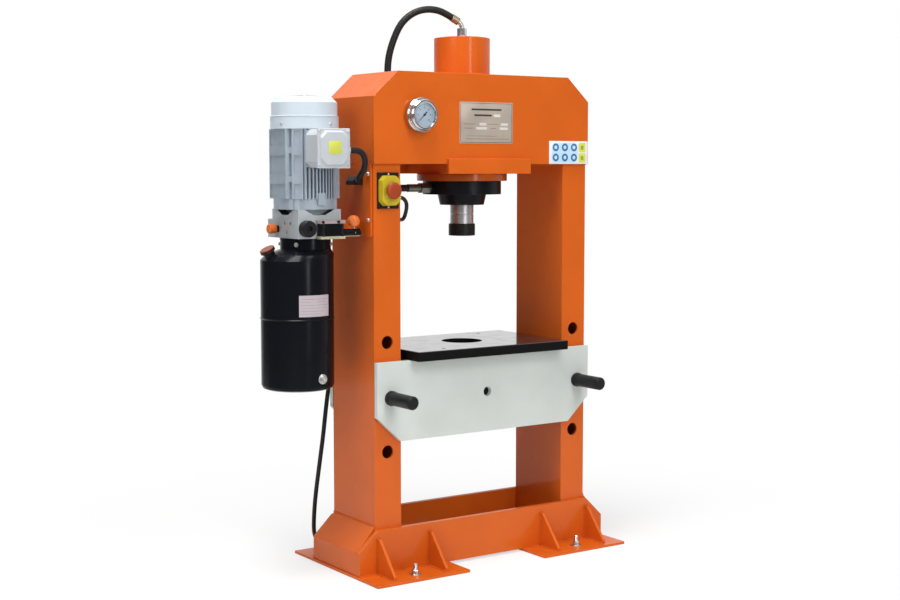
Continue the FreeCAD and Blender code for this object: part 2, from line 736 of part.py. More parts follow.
def make_pins():
    """Locating pins: plain shank, collar against the beam and a rounded handle in front."""
    shank = 2 * BEAM_OUTER_Y + PIN_TAIL
    handle_end = PIN_COLLAR_LENGTH + PIN_HANDLE_LENGTH
    profile = [
        (0, -shank),
        (PIN_DIAMETER / 2 - PIN_CHAMFER, -shank),
        (PIN_DIAMETER / 2, PIN_CHAMFER - shank),
        (PIN_DIAMETER / 2, 0),
        (PIN_COLLAR / 2, 0),
        (PIN_COLLAR / 2, PIN_COLLAR_LENGTH),
        (PIN_HANDLE / 2, PIN_COLLAR_LENGTH),
        (PIN_HANDLE / 2, handle_end - PIN_CHAMFER),
        (PIN_HANDLE / 2 - PIN_CHAMFER, handle_end),
        (0, handle_end),
    ]
    for name, x in (("pin_left", -COLUMN_MID), ("pin_right", COLUMN_MID)):
        nodes[name] = turned(profile, V(x, -BEAM_OUTER_Y, PIN_Z), V(0, -1, 0))


def make_cylinder():
    """Cylinder barrel with its mounting disc, head cap and gland."""
    outer = rod(BARREL_RADIUS, BARREL_TOP - SEAT_BOTTOM, V(0, 0, SEAT_BOTTOM), Z_AXIS)
    disc = rod(BARREL_DISC / 2, BARREL_DISC_THICK, V(0, 0, DISC_BOTTOM), Z_AXIS)
    bore = rod(BARREL_BORE / 2, BARREL_TOP - DISC_BOTTOM, V(0, 0, DISC_BOTTOM), Z_AXIS)
    cap_seat = V(0, 0, BARREL_TOP - HEAD_CAP_THICK)
    pocket = rod(HEAD_CAP_DIAMETER / 2, HEAD_CAP_THICK, cap_seat, Z_AXIS)
    nodes["cylinder_barrel"] = outer.fuse(disc).removeSplitter().cut(bore).cut(pocket)
    cap = rod(HEAD_CAP_DIAMETER / 2, HEAD_CAP_THICK, cap_seat, Z_AXIS)
    nodes["cylinder_head_cap"] = cap.cut(rod(HEAD_CAP_PORT / 2, HEAD_CAP_THICK, cap_seat, Z_AXIS))
    rod_bore = RAM_DIAMETER / 2 + RUNNING_FIT
    gland = [
        (rod_bore, HUB_BOTTOM),
        (GLAND_HUB_BOTTOM / 2, HUB_BOTTOM),
        (GLAND_HUB_TOP / 2, GLAND_BOTTOM),
        (GLAND_DIAMETER / 2, GLAND_BOTTOM),
        (GLAND_DIAMETER / 2, DISC_BOTTOM),
        (BARREL_BORE / 2, DISC_BOTTOM),
        (BARREL_BORE / 2, DISC_BOTTOM + GLAND_SPIGOT),
        (rod_bore, DISC_BOTTOM + GLAND_SPIGOT),
    ]
    nodes["cylinder_gland"] = turned(gland, V(0, 0, 0), Z_AXIS)


def make_ram():
    """Ram rod with its piston inside the barrel, and the hardened nose on its end."""
    groove = NOSE_TOP + RAM_SHOWING / 2
    radius = RAM_DIAMETER / 2
    piston_foot = HUB_BOTTOM + RAM_ROD_ABOVE - GLAND_HUB_HEIGHT
    piston_radius = BARREL_BORE / 2 - RUNNING_FIT
    profile = [
        (0, NOSE_TOP),
        (radius, NOSE_TOP),
        (radius, groove - RAM_GROOVE_WIDTH / 2),
        (radius - RAM_GROOVE_DEPTH, groove - RAM_GROOVE_WIDTH / 2),
        (radius - RAM_GROOVE_DEPTH, groove + RAM_GROOVE_WIDTH / 2),
        (radius, groove + RAM_GROOVE_WIDTH / 2),
        (radius, piston_foot),
        (piston_radius, piston_foot),
        (piston_radius, piston_foot + PISTON_THICK),
        (0, piston_foot + PISTON_THICK),
    ]
    nodes["ram"] = turned(profile, V(0, 0, 0), Z_AXIS)
    bottom = NOSE_TOP - NOSE_HEIGHT
    nose = [
        (0, bottom),
        (NOSE_DIAMETER / 2 - NOSE_EDGE, bottom),
        (NOSE_DIAMETER / 2, bottom + NOSE_EDGE),
        (NOSE_DIAMETER / 2, NOSE_TOP - NOSE_EDGE),
        (NOSE_DIAMETER / 2 - NOSE_EDGE, NOSE_TOP),
        (0, NOSE_TOP),
    ]
    nodes["ram_nose"] = turned(nose, V(0, 0, 0), Z_AXIS)


def hose_heading():
    """Level direction in which the top hose leaves the cylinder."""
    angle = math.radians(ELBOW_PLAN_ANGLE)
    return V(math.cos(angle), math.sin(angle), 0)


def elbow_end():
    """Mouth of the top elbow and the direction in which it points."""
    turn = math.radians(ELBOW_TURN)
    level = hose_heading() * (ELBOW_RADIUS * (1 - math.cos(turn)))
    mouth = V(0, 0, ELBOW_START) + level + Z_AXIS * (ELBOW_RADIUS * math.sin(turn))
    return mouth, hose_heading() * math.sin(turn) + Z_AXIS * math.cos(turn)


def make_top_fitting():
    """Boss, nut and bent tube on the head cap, and the ferrule crimped on the hose."""
    start = V(0, 0, ELBOW_START)
    mouth, heading = elbow_end()
    half = math.radians(ELBOW_TURN / 2)
    level = hose_heading() * (ELBOW_RADIUS * (1 - math.cos(half)))
    crest = start + level + Z_AXIS * (ELBOW_RADIUS * math.sin(half))
    bend = swept(Part.Wire(Part.Arc(start, crest, mouth).toShape()), ELBOW_TUBE / 2, Z_AXIS)
    boss = rod(ELBOW_BOSS_DIAMETER / 2, ELBOW_BOSS_HEIGHT, V(0, 0, BARREL_TOP), Z_AXIS)
    nut = hexagon(ELBOW_NUT_FLATS, ELBOW_NUT_HEIGHT, V(0, 0, ELBOW_BASE), Z_AXIS)
    nodes["top_elbow"] = fused([boss, nut, bend])
    nodes["top_ferrule"] = rod(FERRULE_DIAMETER / 2, FERRULE_LENGTH, mouth, heading)


def make_top_hose():
    """High-pressure hose that arches from the elbow down into the crown."""
    mouth, heading = elbow_end()
    along = hose_heading()
    foot = CROWN_TOP + GROMMET_THICK
    points = [mouth + heading * FERRULE_LENGTH]
    points += [mouth + heading * (FERRULE_LENGTH + HOSE_LEAD)]
    points += [along * s + Z_AXIS * z for s, z in TOP_HOSE_ROUTE]
    points += [along * TOP_HOSE_END + Z_AXIS * foot]
    nodes["hose_top"] = tube([tuple(p) for p in points], HOSE_DIAMETER, "hose_top")


def make_lower_hose():
    """Return connection from the gland's side port into the left column."""
    start = -GLAND_DIAMETER / 2
    nut = hexagon(LOWER_NUT_FLATS, LOWER_NUT_LENGTH, V(start, 0, LOWER_PORT_Z), V(-1, 0, 0))
    neck = rod(LOWER_FERRULE_DIAMETER / 2, 4.0, V(start + 2.0, 0, LOWER_PORT_Z), V(-1, 0, 0))
    seat = rod(GLAND_DIAMETER / 2, GLAND_THICK, V(0, 0, GLAND_BOTTOM), Z_AXIS)
    ferrule_start = V(start - LOWER_NUT_LENGTH, 0, LOWER_PORT_Z)
    ferrule = rod(LOWER_FERRULE_DIAMETER / 2, LOWER_FERRULE_LENGTH, ferrule_start, V(-1, 0, 0))
    nodes["lower_fitting"] = fused([nut, neck, ferrule]).cut(seat)
    hose_start = start - LOWER_NUT_LENGTH - LOWER_FERRULE_LENGTH
    length = hose_start + COLUMN_IN - GROMMET_THICK
    start_point = V(hose_start, 0, LOWER_PORT_Z)
    nodes["hose_lower"] = rod(LOWER_HOSE_DIAMETER / 2, length, start_point, V(-1, 0, 0))


def grommet(diameter, centre, axis):
    """Rubber bush whose outer face a hose or lead meets."""
    foot = diameter / 2 + GROMMET_WALL
    profile = [(0, 0), (foot, 0), (foot, 2.0), (foot - 3.0, GROMMET_THICK), (0, GROMMET_THICK)]
    return turned(profile, centre, axis)


def make_entries():
    """Bushes where the hoses and the emergency-stop lead enter the frame, and the motor's outlet."""
    top = hose_heading() * TOP_HOSE_END + Z_AXIS * CROWN_TOP
    side = V(-COLUMN_IN, 0, LOWER_PORT_Z)
    stop = V(-COLUMN_IN, STOP_LEAD_POINTS[-1][1], STOP_LEAD_POINTS[-1][2])
    bushes = [
        grommet(HOSE_DIAMETER, top, Z_AXIS),
        grommet(LOWER_HOSE_DIAMETER, side, X_AXIS),
        grommet(STOP_LEAD_DIAMETER, stop, X_AXIS),
    ]
    end = LEAD_POINTS[-1]
    low = end[2] - OUTLET_TALL / 2
    side_view = [
        (PLATE_X, low),
        (PLATE_X, low + OUTLET_TALL),
        (PLATE_X - OUTLET_TOP, low + OUTLET_TALL),
        (PLATE_X - OUTLET_DEEP, low + OUTLET_TALL / 2),
        (PLATE_X - OUTLET_DEEP, low),
    ]
    outlet = upright(side_view, end[1], end[1] + OUTLET_WIDE)
    nodes["cable_entries"] = Part.makeCompound(bushes + [outlet])


def make_gauge():
    """Pressure gauge: case with a deep bezel, glass, and a pointer on its own spindle."""
    centre = V(GAUGE_X, -CROWN_FACE_Y, GAUGE_Z)
    front = V(0, -1, 0)
    window = GAUGE_WINDOW / 2
    dial = GAUGE_DEPTH - GAUGE_WELL
    spindle = POINTER_SHAFT / 2 + RUNNING_FIT
    case = [
        (0, 0),
        (GAUGE_BACK_DIAMETER / 2, 0),
        (GAUGE_BACK_DIAMETER / 2, GAUGE_BACK_THICK),
        (GAUGE_CASE_DIAMETER / 2 - 3.0, GAUGE_BACK_THICK),
        (GAUGE_CASE_DIAMETER / 2, GAUGE_BACK_THICK + 4.0),
        (GAUGE_CASE_DIAMETER / 2, GAUGE_CASE_DEPTH - 4.0),
        (GAUGE_CASE_DIAMETER / 2 - 3.0, GAUGE_CASE_DEPTH),
        (GAUGE_BEZEL_DIAMETER / 2, GAUGE_CASE_DEPTH),
        (GAUGE_BEZEL_DIAMETER / 2, GAUGE_DEPTH - 5.0),
        (GAUGE_BEZEL_DIAMETER / 2 - 4.0, GAUGE_DEPTH),
        (window + 3.0, GAUGE_DEPTH),
        (window, GAUGE_DEPTH - GLASS_SETBACK),
        (window, dial),
        (spindle, dial),
        (spindle, dial - POINTER_SHAFT_DEPTH),
        (0, dial - POINTER_SHAFT_DEPTH),
    ]
    nodes["gauge_case"] = turned(case, centre, front)
    glass_back = centre + front * (GAUGE_DEPTH - GLASS_SETBACK - GLASS_THICK)
    nodes["gauge_glass"] = rod(window, GLASS_THICK, glass_back, front)
    angle = math.radians(POINTER_REST)
    along = V(math.cos(angle), 0, math.sin(angle))
    across = V(-math.sin(angle), 0, math.cos(angle))
    hub = V(GAUGE_X, DIAL_Y - POINTER_LIFT, GAUGE_Z)
    needle = [
        hub + along * POINTER_LENGTH + across * 0.3,
        hub - along * POINTER_TAIL + across * 2.2,
        hub - along * POINTER_TAIL - across * 2.2,
        hub + along * POINTER_LENGTH - across * 0.3,
    ]
    blade = prism(needle, front * POINTER_THICK)
    boss = rod(POINTER_HUB / 2, POINTER_THICK + 0.8, hub, front)
    shaft_start = hub - front * (POINTER_LIFT + POINTER_SHAFT_DEPTH - RUNNING_FIT)
    shaft = rod(POINTER_SHAFT / 2, POINTER_LIFT + POINTER_SHAFT_DEPTH, shaft_start, front)
    nodes["gauge_pointer"] = fused([blade, boss, shaft])


def octagon(width, height, corner, y):
    """Upright rectangle with cut corners, centred on the emergency stop."""
    half = width / 2
    reach = height / 2
    outline = [
        (corner - half, -reach), (half - corner, -reach),
        (half, corner - reach), (half, reach - corner),
        (half - corner, reach), (corner - half, reach),
        (-half, reach - corner), (-half, corner - reach),
    ]
    return [V(STOP_X + x, y, STOP_Z + z) for x, z in outline]


def make_stop():
    """Emergency stop: backing plate, drafted housing, stem and turn-to-release mushroom head."""
    plate_half = STOP_PLATE_WIDTH / 2
    nodes["stop_plate"] = box(
        STOP_X - plate_half, STOP_X + plate_half, -FACE_Y - STOP_PLATE_THICK, -FACE_Y,
        STOP_Z - STOP_PLATE_HEIGHT / 2, STOP_Z + STOP_PLATE_HEIGHT / 2,
    )
    back = octagon(STOP_BODY_WIDTH, STOP_BODY_HEIGHT, STOP_BODY_CORNER, -FACE_Y - STOP_PLATE_THICK)
    front = octagon(
        STOP_BODY_WIDTH - STOP_BODY_DRAFT, STOP_BODY_HEIGHT - STOP_BODY_DRAFT,
        STOP_BODY_CORNER, STOP_BODY_Y,
    )
    rims = [Part.makePolygon(rim + [rim[0]]) for rim in (back, front)]
    housing = Part.makeLoft(rims, True, True)
    gland_end = V(
        STOP_X + STOP_BODY_WIDTH / 2 + STOP_GLAND_SHOWING,
        -FACE_Y - STOP_PLATE_THICK - STOP_GLAND_FORWARD,
        STOP_Z - STOP_GLAND_DROP,
    )
    gland = rod(STOP_GLAND / 2, STOP_GLAND, gland_end, V(-1, 0, 0))
    body = fused([housing, gland])
    mouth = V(STOP_X, STOP_BODY_Y, STOP_Z)
    well_depth = STOP_STEM_DEPTH + STOP_TRAVEL
    well = rod(STOP_STEM / 2 + RUNNING_FIT, well_depth, mouth, Y_AXIS)
    nodes["stop_body"] = body.cut(well)
    stem_front = V(STOP_X, STOP_BODY_Y - STOP_STEM_SHOWING, STOP_Z)
    stem = rod(STOP_STEM / 2, STOP_STEM_SHOWING + STOP_STEM_DEPTH - 0.5, stem_front, Y_AXIS)
    spindle = rod(STOP_SPINDLE / 2, STOP_SPINDLE_LENGTH, stem_front, V(0, -1, 0))
    nodes["stop_stem"] = fused([stem, spindle])
    head_radius = STOP_HEAD / 2
    socket = STOP_SPINDLE / 2 + RUNNING_FIT
    head = [
        (socket, 0),
        (head_radius * 0.62, 0),
        (head_radius * 0.74, STOP_HEAD_THICK * 0.2),
        (head_radius, STOP_HEAD_THICK * 0.35),
        (head_radius, STOP_HEAD_THICK * 0.6),
        (head_radius * 0.93, STOP_HEAD_THICK * 0.8),
        (head_radius * 0.72, STOP_HEAD_THICK * 0.95),
        (head_radius * 0.4, STOP_HEAD_THICK),
        (0, STOP_HEAD_THICK),
        (0, STOP_SPINDLE_LENGTH + RUNNING_FIT),
        (socket, STOP_SPINDLE_LENGTH + RUNNING_FIT),
    ]
    nodes["stop_head"] = turned(head, stem_front, V(0, -1, 0))
    nodes["stop_lead"] = tube(STOP_LEAD_POINTS, STOP_LEAD_DIAMETER, "stop_lead")


def motor_fins(axis_x, axis_y):
    """Comb of parallel cooling fins on one side of the motor, running the motor's full height."""
    combs = []
    for k in range(FIN_COUNT):
        offset = (k - (FIN_COUNT - 1) / 2) * FIN_PITCH
        if axis_x:
            x0, x1 = sorted((0, axis_x * MOTOR_RADIUS))
            combs.append(box(
                x0, x1, offset - FIN_THICK / 2, offset + FIN_THICK / 2, MOTOR_BOTTOM, MOTOR_TOP
            ))
        else:
            y0, y1 = sorted((0, axis_y * MOTOR_RADIUS))
            combs.append(box(
                offset - FIN_THICK / 2, offset + FIN_THICK / 2, y0, y1, MOTOR_BOTTOM, MOTOR_TOP
            ))
    return combs


def panel_spans():
    """Heights of the three recessed panels below, between and above the level bands."""
    middle = [z + side * BAND_HEIGHT / 2 for z in BAND_Z for side in (-1, 1)]
    edges = [MOTOR_BOTTOM] + middle + [MOTOR_TOP]
    return [(edges[k] + PANEL_MARGIN, edges[k + 1] - PANEL_MARGIN) for k in (0, 2, 4)]


def corner_bar(angle):
    """Solid rib between two combs of fins, with recessed panels in its flat outer face."""
    half = CORNER_BAR_WIDTH / 2
    bar = box(0, CORNER_BAR_FACE, -half, half, MOTOR_BOTTOM, MOTOR_TOP)
    panels = [
        box(
            CORNER_BAR_FACE - PANEL_DEPTH, CORNER_BAR_FACE, PANEL_MARGIN - half, half - PANEL_MARGIN,
            low, high,
        )
        for low, high in panel_spans()
    ]
    bar = bar.cut(panels)
    bar.rotate(V(0, 0, 0), Z_AXIS, angle)
    return bar


def mounting_pad():
    """Flat pad on the motor's left side: recessed panels, bolt holes and bands to the corner bars."""
    half = PAD_WIDTH / 2
    pad = box(-PAD_FACE, 0, -half, half, MOTOR_BOTTOM, MOTOR_TOP)
    bands = []
    for z in BAND_Z:
        low = z - BAND_HEIGHT / 2
        disc = rod(BAND_RADIUS, BAND_HEIGHT, V(0, 0, low), Z_AXIS)
        side = box(
            -MOTOR_RADIUS, -BAND_INSET, -MOTOR_RADIUS, MOTOR_RADIUS, low, low + BAND_HEIGHT
        )
        bands.append(disc.common(side))
    panels = [
        box(-PAD_FACE - 5.0, PANEL_DEPTH - PAD_FACE, PANEL_MARGIN - half, half - PANEL_MARGIN, low, high)
        for low, high in panel_spans()
    ]
    holes = [
        rod(PAD_HOLE / 2, PAD_HOLE_DEPTH, V(-PAD_FACE, 0, z), X_AXIS) for z in PAD_HOLE_Z
    ]
    proud = box(-MOTOR_RADIUS, -PAD_FACE, -half, half, MOTOR_BOTTOM, MOTOR_TOP)
    return pad.fuse(bands).cut(panels + holes + [proud])


def make_motor():
    """Finned motor housing with its end shield; solid inside, as nothing opens it."""
    height = MOTOR_TOP - MOTOR_BOTTOM
    core = rod(MOTOR_CORE_RADIUS, height, V(0, 0, MOTOR_BOTTOM), Z_AXIS)
    combs = motor_fins(0, -1) + motor_fins(0, 1) + motor_fins(1, 0)
    turn = CORNER_BAR_ANGLE
    bars = [corner_bar(angle) for angle in (turn, 180 - turn, 180 + turn, 360 - turn)]
    envelope = rod(MOTOR_RADIUS, height, V(0, 0, MOTOR_BOTTOM), Z_AXIS)
    seat_half = BOX_WIDTH / 2 - 4.0
    seat = box(
        -seat_half, seat_half, -BOX_PAD_FACE, 0, BOX_BOTTOM + 4.0, BOX_BOTTOM + BOX_HEIGHT - 4.0
    )
    trim = box(
        -MOTOR_RADIUS, MOTOR_RADIUS, -MOTOR_RADIUS - 1.0, -BOX_PAD_FACE,
        BOX_BOTTOM - 1.0, MOTOR_TOP,
    )
    body = core.fuse(combs).common(envelope).cut(trim)
    body = body.fuse(bars + [mounting_pad(), seat])
    shield_base = MOTOR_BOTTOM - SHIELD_HEIGHT
    shield = rod(SHIELD_RADIUS, SHIELD_HEIGHT, V(0, 0, shield_base), Z_AXIS)
    bosses = []
    for k in range(4):
        angle = math.radians(45 + 90 * k)
        place = V(SHIELD_BOSS_PITCH * math.cos(angle), SHIELD_BOSS_PITCH * math.sin(angle), shield_base)
        bosses.append(rod(SHIELD_BOSS_RADIUS, SHIELD_HEIGHT, place, Z_AXIS))
    lug = box(-12.0, 12.0, -MOTOR_RADIUS, -SHIELD_RADIUS + 8.0, shield_base + 14.0, MOTOR_BOTTOM + 18.0)
    shaft_well = rod(
        FAN_SHAFT_RADIUS + RUNNING_FIT, FAN_SHAFT_DEPTH, V(0, 0, MOTOR_TOP - FAN_SHAFT_DEPTH), Z_AXIS
    )
    motor = body.fuse([shield, lug] + bosses).removeSplitter().cut(shaft_well)
    motor.translate(V(PACK_X, 0, 0))
    nodes["motor_housing"] = motor


def make_fan_cowl():
    """Fan cowl: pressed steel cup with a rolled rim and a domed grille of rings and spokes."""
    lower = COWL_LOWER_HEIGHT
    shoulder = lower + COWL_UPPER_HEIGHT
    crest = shoulder + COWL_DOME_HEIGHT
    wall = COWL_WALL
    outline = [
        (COWL_RADIUS, 0),
        (COWL_RADIUS, lower - COWL_RIM),
        (COWL_RADIUS + COWL_RIM, lower),
        (COWL_UPPER_RADIUS, lower + COWL_RIM),
        (COWL_UPPER_RADIUS, shoulder - 4.0),
        (COWL_UPPER_RADIUS - 4.0, shoulder),
        (COWL_DOME_RADIUS, shoulder + COWL_DOME_HEIGHT * 0.6),
        (0, crest),
        (0, crest - wall),
        (COWL_DOME_RADIUS - wall, shoulder + COWL_DOME_HEIGHT * 0.6 - wall),
        (COWL_UPPER_RADIUS - 4.0 - wall, shoulder - wall),
        (COWL_UPPER_RADIUS - wall, shoulder - 4.0 - wall),
        (COWL_UPPER_RADIUS - wall, 0),
    ]
    cup = turned(outline, V(0, 0, MOTOR_TOP), Z_AXIS)
    slots = []
    for k in range(GRILLE_RING_COUNT):
        inner = GRILLE_HUB + GRILLE_RING_PITCH * k
        outer = inner + GRILLE_RING_PITCH - GRILLE_BAR
        tall = rod(outer, COWL_DOME_HEIGHT + wall, V(0, 0, MOTOR_TOP + shoulder), Z_AXIS)
        core = rod(inner, COWL_DOME_HEIGHT + wall, V(0, 0, MOTOR_TOP + shoulder), Z_AXIS)
        slots.append(tall.cut(core))
    spokes = []
    for k in range(GRILLE_SPOKES):
        spoke = box(
            0, COWL_DOME_RADIUS, -GRILLE_BAR / 2, GRILLE_BAR / 2,
            MOTOR_TOP + shoulder - 1.0, MOTOR_TOP + crest + 1.0,
        )
        spoke.rotate(V(0, 0, 0), Z_AXIS, 360 / GRILLE_SPOKES * k)
        spokes.append(spoke)
    cuts = [slot.cut(spokes) for slot in slots]
    cowl = cup.cut(cuts)
    cowl.translate(V(PACK_X, 0, 0))
    nodes["fan_cowl"] = cowl


def make_fan():
    """Motor shaft end with its radial fan, which turns inside the cowl."""
    foot = MOTOR_TOP + FAN_LIFT
    shaft = rod(FAN_SHAFT_RADIUS, FAN_SHAFT_DEPTH + FAN_LIFT - 0.5, V(0, 0, foot), V(0, 0, -1))
    hub = rod(FAN_HUB_RADIUS, FAN_HEIGHT, V(0, 0, foot), Z_AXIS)
    disc = rod(FAN_RADIUS, FAN_DISC_THICK, V(0, 0, foot), Z_AXIS)
    parts = [shaft, hub, disc]
    for k in range(FAN_BLADES):
        blade = box(
            FAN_HUB_RADIUS - 2.0, FAN_RADIUS, -FAN_BLADE_THICK / 2, FAN_BLADE_THICK / 2,
            foot, foot + FAN_HEIGHT,
        )
        blade.rotate(V(0, 0, 0), Z_AXIS, 360 / FAN_BLADES * k)
        parts.append(blade)
    fan = fused(parts)
    fan.translate(V(PACK_X, 0, 0))
    nodes["motor_fan"] = fan


def lid_outline(shrink, cut, y):
    """Terminal box's outline, shrunk and with cut corners, at depth y."""
    half = BOX_WIDTH / 2 - shrink
    low = BOX_BOTTOM + shrink
    high = BOX_BOTTOM + BOX_HEIGHT - shrink
    outline = [
        (-half + cut, low), (half - cut, low), (half, low + cut), (half, high - cut),
        (half - cut, high), (cut - half, high), (-half, high - cut), (-half, low + cut),
    ]
    return [V(PACK_X + x, y, z) for x, z in outline]


def make_terminal_box():
    """Motor terminal box with a gland boss on its right side; square lid with a raised middle."""
    lid_back = LID_THICK - BOX_FRONT
    body = prism(lid_outline(1.5, LID_CORNER, -BOX_PAD_FACE), V(0, lid_back + BOX_PAD_FACE, 0))
    right = PACK_X + BOX_WIDTH / 2
    boss = rod(
        BOX_GLAND_DIAMETER / 2, BOX_GLAND_LENGTH + 5.0, V(right - 5.0, BOX_GLAND_Y, BOX_GLAND_Z), X_AXIS
    )
    nodes["terminal_box"] = fused([body, boss])
    rim_front = lid_back - LID_FLANGE
    rim = box(
        PACK_X - BOX_WIDTH / 2, PACK_X + BOX_WIDTH / 2, rim_front, lid_back,
        BOX_BOTTOM, BOX_BOTTOM + BOX_HEIGHT,
    )
    wires = []
    for shrink, y in ((LID_INSET, rim_front), (LID_INSET + LID_DRAFT, -BOX_FRONT)):
        edge = lid_outline(shrink, LID_CORNER, y)
        wires.append(Part.makePolygon(edge + [edge[0]]))
    nodes["terminal_lid"] = fused([rim, Part.makeLoft(wires, True, True)])


def make_motor_lead():
    """Lead from the terminal box down to the outlet box on the bracket."""
    nodes["motor_lead"] = tube(LEAD_POINTS, LEAD_DIAMETER, "motor_lead")


def pocket(mid, y, outward):
    """Tapered recess in the top edge of the flange's front or side face."""
    half_top = FLANGE_POCKET_TOP / 2
    half_foot = FLANGE_POCKET_FOOT / 2
    low = FLANGE_TOP - FLANGE_POCKET_HEIGHT
    outline = [(-half_top, FLANGE_TOP), (-half_foot, low), (half_foot, low), (half_top, FLANGE_TOP)]
    corners = [V(mid + x, y, z) for x, z in outline]
    return prism(corners, V(0, -outward * FLANGE_POCKET_DEPTH, 0))


def make_flange():
    """Square adapter flange between motor and valve block, relieved on each face."""
    flange = box(BLOCK_LEFT, BLOCK_RIGHT, BLOCK_FRONT, -BLOCK_FRONT, FLANGE_BOTTOM, FLANGE_TOP)
    front = pocket(BLOCK_MID, BLOCK_FRONT, -1)
    side = pocket(0, -BLOCK_WIDTH / 2, -1)
    side.rotate(V(0, 0, 0), Z_AXIS, -90)
    side.translate(V(BLOCK_MID, 0, 0))
    across = side.mirror(V(BLOCK_MID, 0, 0), X_AXIS)
    nodes["adapter_flange"] = flange.cut([front, mirrored_y(front), side, across])


def make_valve_block():
    """Aluminium valve block with ports in its left side, and the round plug in its front."""
    block = box(BLOCK_LEFT, BLOCK_RIGHT, BLOCK_FRONT, BLOCK_BACK, BLOCK_BOTTOM, FLANGE_BOTTOM)
    tall = FLANGE_BOTTOM - BLOCK_BOTTOM
    block = block.makeChamfer(BLOCK_EDGE, [e for e in block.Edges if e.BoundBox.ZLength > tall - 1])
    for y, z in PORTS:
        block = block.cut(rod(PORT_DIAMETER / 2, PORT_DEPTH, V(BLOCK_LEFT, y, z), X_AXIS))
    stem_well = rod(
        KNOB_STEM / 2 + RUNNING_FIT, KNOB_STEM_DEPTH + 0.5, V(BLOCK_LEFT, KNOB_Y, KNOB_Z), X_AXIS
    )
    nodes["valve_block"] = block.cut(stem_well)
    seat = V(PLUG_X, BLOCK_FRONT, PLUG_Z)
    radius = BLOCK_PLUG_DIAMETER / 2
    profile = [
        (0, 0),
        (radius, 0),
        (radius, BLOCK_PLUG_LENGTH - 3.0),
        (radius - 3.0, BLOCK_PLUG_LENGTH),
        (0, BLOCK_PLUG_LENGTH),
    ]
    plug = turned(profile, seat, V(0, -1, 0))
    key = hexagon(
        BLOCK_PLUG_HEX, BLOCK_PLUG_HEX_DEPTH, seat - Y_AXIS * BLOCK_PLUG_LENGTH, Y_AXIS
    )
    nodes["block_plug"] = plug.cut(key)


def make_relief_knob():
    """Pressure-setting knob: fluted grip on a collar, its stem in the valve block."""
    base = V(BLOCK_LEFT - SOFT_GAP, KNOB_Y, KNOB_Z)
    out = V(-1, 0, 0)
    collar = rod(KNOB_COLLAR / 2, KNOB_COLLAR_LENGTH, base, out)
    grip = rod(KNOB_DIAMETER / 2, KNOB_LENGTH, base + out * KNOB_COLLAR_LENGTH, out)
    grip = grip.makeChamfer(1.5, [grip.Edges[0], grip.Edges[2]])
    for k in range(KNOB_FLUTES):
        angle = 2 * math.pi * k / KNOB_FLUTES
        side = V(0, math.cos(angle), math.sin(angle)) * (KNOB_DIAMETER / 2 + 0.8)
        flute_start = base + out * (KNOB_COLLAR_LENGTH + 4.0) + side
        grip = grip.cut(rod(KNOB_FLUTE_RADIUS, KNOB_LENGTH, flute_start, out))
    stem = rod(KNOB_STEM / 2, KNOB_STEM_DEPTH, base, X_AXIS)
    nodes["relief_knob"] = fused([grip, collar, stem])


def make_lever_valve():
    """Hand valve on the block's front: clamp plates above and below a waisted body."""
    front = BLOCK_FRONT - VALVE_DEPTH
    waist_low = VALVE_BOTTOM + VALVE_FOOT_LIP
    waist_high = VALVE_BOTTOM + VALVE_HEIGHT - VALVE_TOP_LIP
    foot = box(VALVE_LEFT, VALVE_RIGHT, front, BLOCK_FRONT, VALVE_BOTTOM, waist_low)
    body = box(
        VALVE_LEFT + VALVE_WAIST, VALVE_RIGHT - VALVE_WAIST, front + VALVE_WAIST, BLOCK_FRONT,
        waist_low, waist_high,
    )
    top = box(
        VALVE_LEFT, VALVE_RIGHT, front, BLOCK_FRONT, waist_high, VALVE_BOTTOM + VALVE_HEIGHT
    )
    radius = LEVER_HOUSING / 2
    start = V(VALVE_RIGHT - VALVE_WAIST, LEVER_Y, LEVER_Z)
    length = LEVER_X + LEVER_HOUSING_END - start.x
    housing = rod(radius, length, start, X_AXIS)
    housing = housing.makeChamfer(3.0, [e for e in housing.Edges if e.BoundBox.XMin > start.x + 1])
    slot = box(
        LEVER_X - LEVER_SLOT_LENGTH / 2, LEVER_X + LEVER_SLOT_LENGTH / 2,
        LEVER_Y - LEVER_SLOT / 2, LEVER_Y + LEVER_SLOT / 2,
        LEVER_Z - LEVER_HUB / 2 - 1.0, LEVER_Z + radius,
    )
    pin_start = V(LEVER_X, LEVER_Y - radius, LEVER_Z)
    pin_hole = rod(LEVER_PIN / 2 + RUNNING_FIT, LEVER_HOUSING, pin_start, Y_AXIS)
    nodes["lever_valve"] = fused([foot, body, top, housing]).cut([slot, pin_hole])


def make_lever():
    """Valve lever: hub and stem on a cross pin, with a ball grip on top."""
    pivot = V(LEVER_X, LEVER_Y, LEVER_Z)
    radius = LEVER_HOUSING / 2
    hub_width = LEVER_SLOT - 1.0
    hub = rod(LEVER_HUB / 2, hub_width, pivot - Y_AXIS * (hub_width / 2), Y_AXIS)
    pin_length = LEVER_HOUSING - 1.0
    pin = rod(LEVER_PIN / 2, pin_length, pivot - Y_AXIS * (pin_length / 2), Y_AXIS)
    stem = rod(LEVER_STEM / 2, LEVER_BALL_RISE - 2.0, pivot, Z_AXIS)
    arcs = [math.pi * k / LEVER_BALL_STEPS - math.pi / 2 for k in range(LEVER_BALL_STEPS + 1)]
    ball_radius = LEVER_BALL / 2
    profile = [(ball_radius * abs(math.cos(a)), ball_radius * math.sin(a)) for a in arcs]
    ball = turned(profile, pivot + Z_AXIS * LEVER_BALL_RISE, Z_AXIS)
    lever = fused([hub, pin, stem])
    nodes["valve_lever"] = lever.cut(ball)
    nodes["lever_ball"] = ball
    print("lever ball clears its housing by", round(LEVER_BALL_RISE - LEVER_BALL / 2 - radius, 1), "mm")


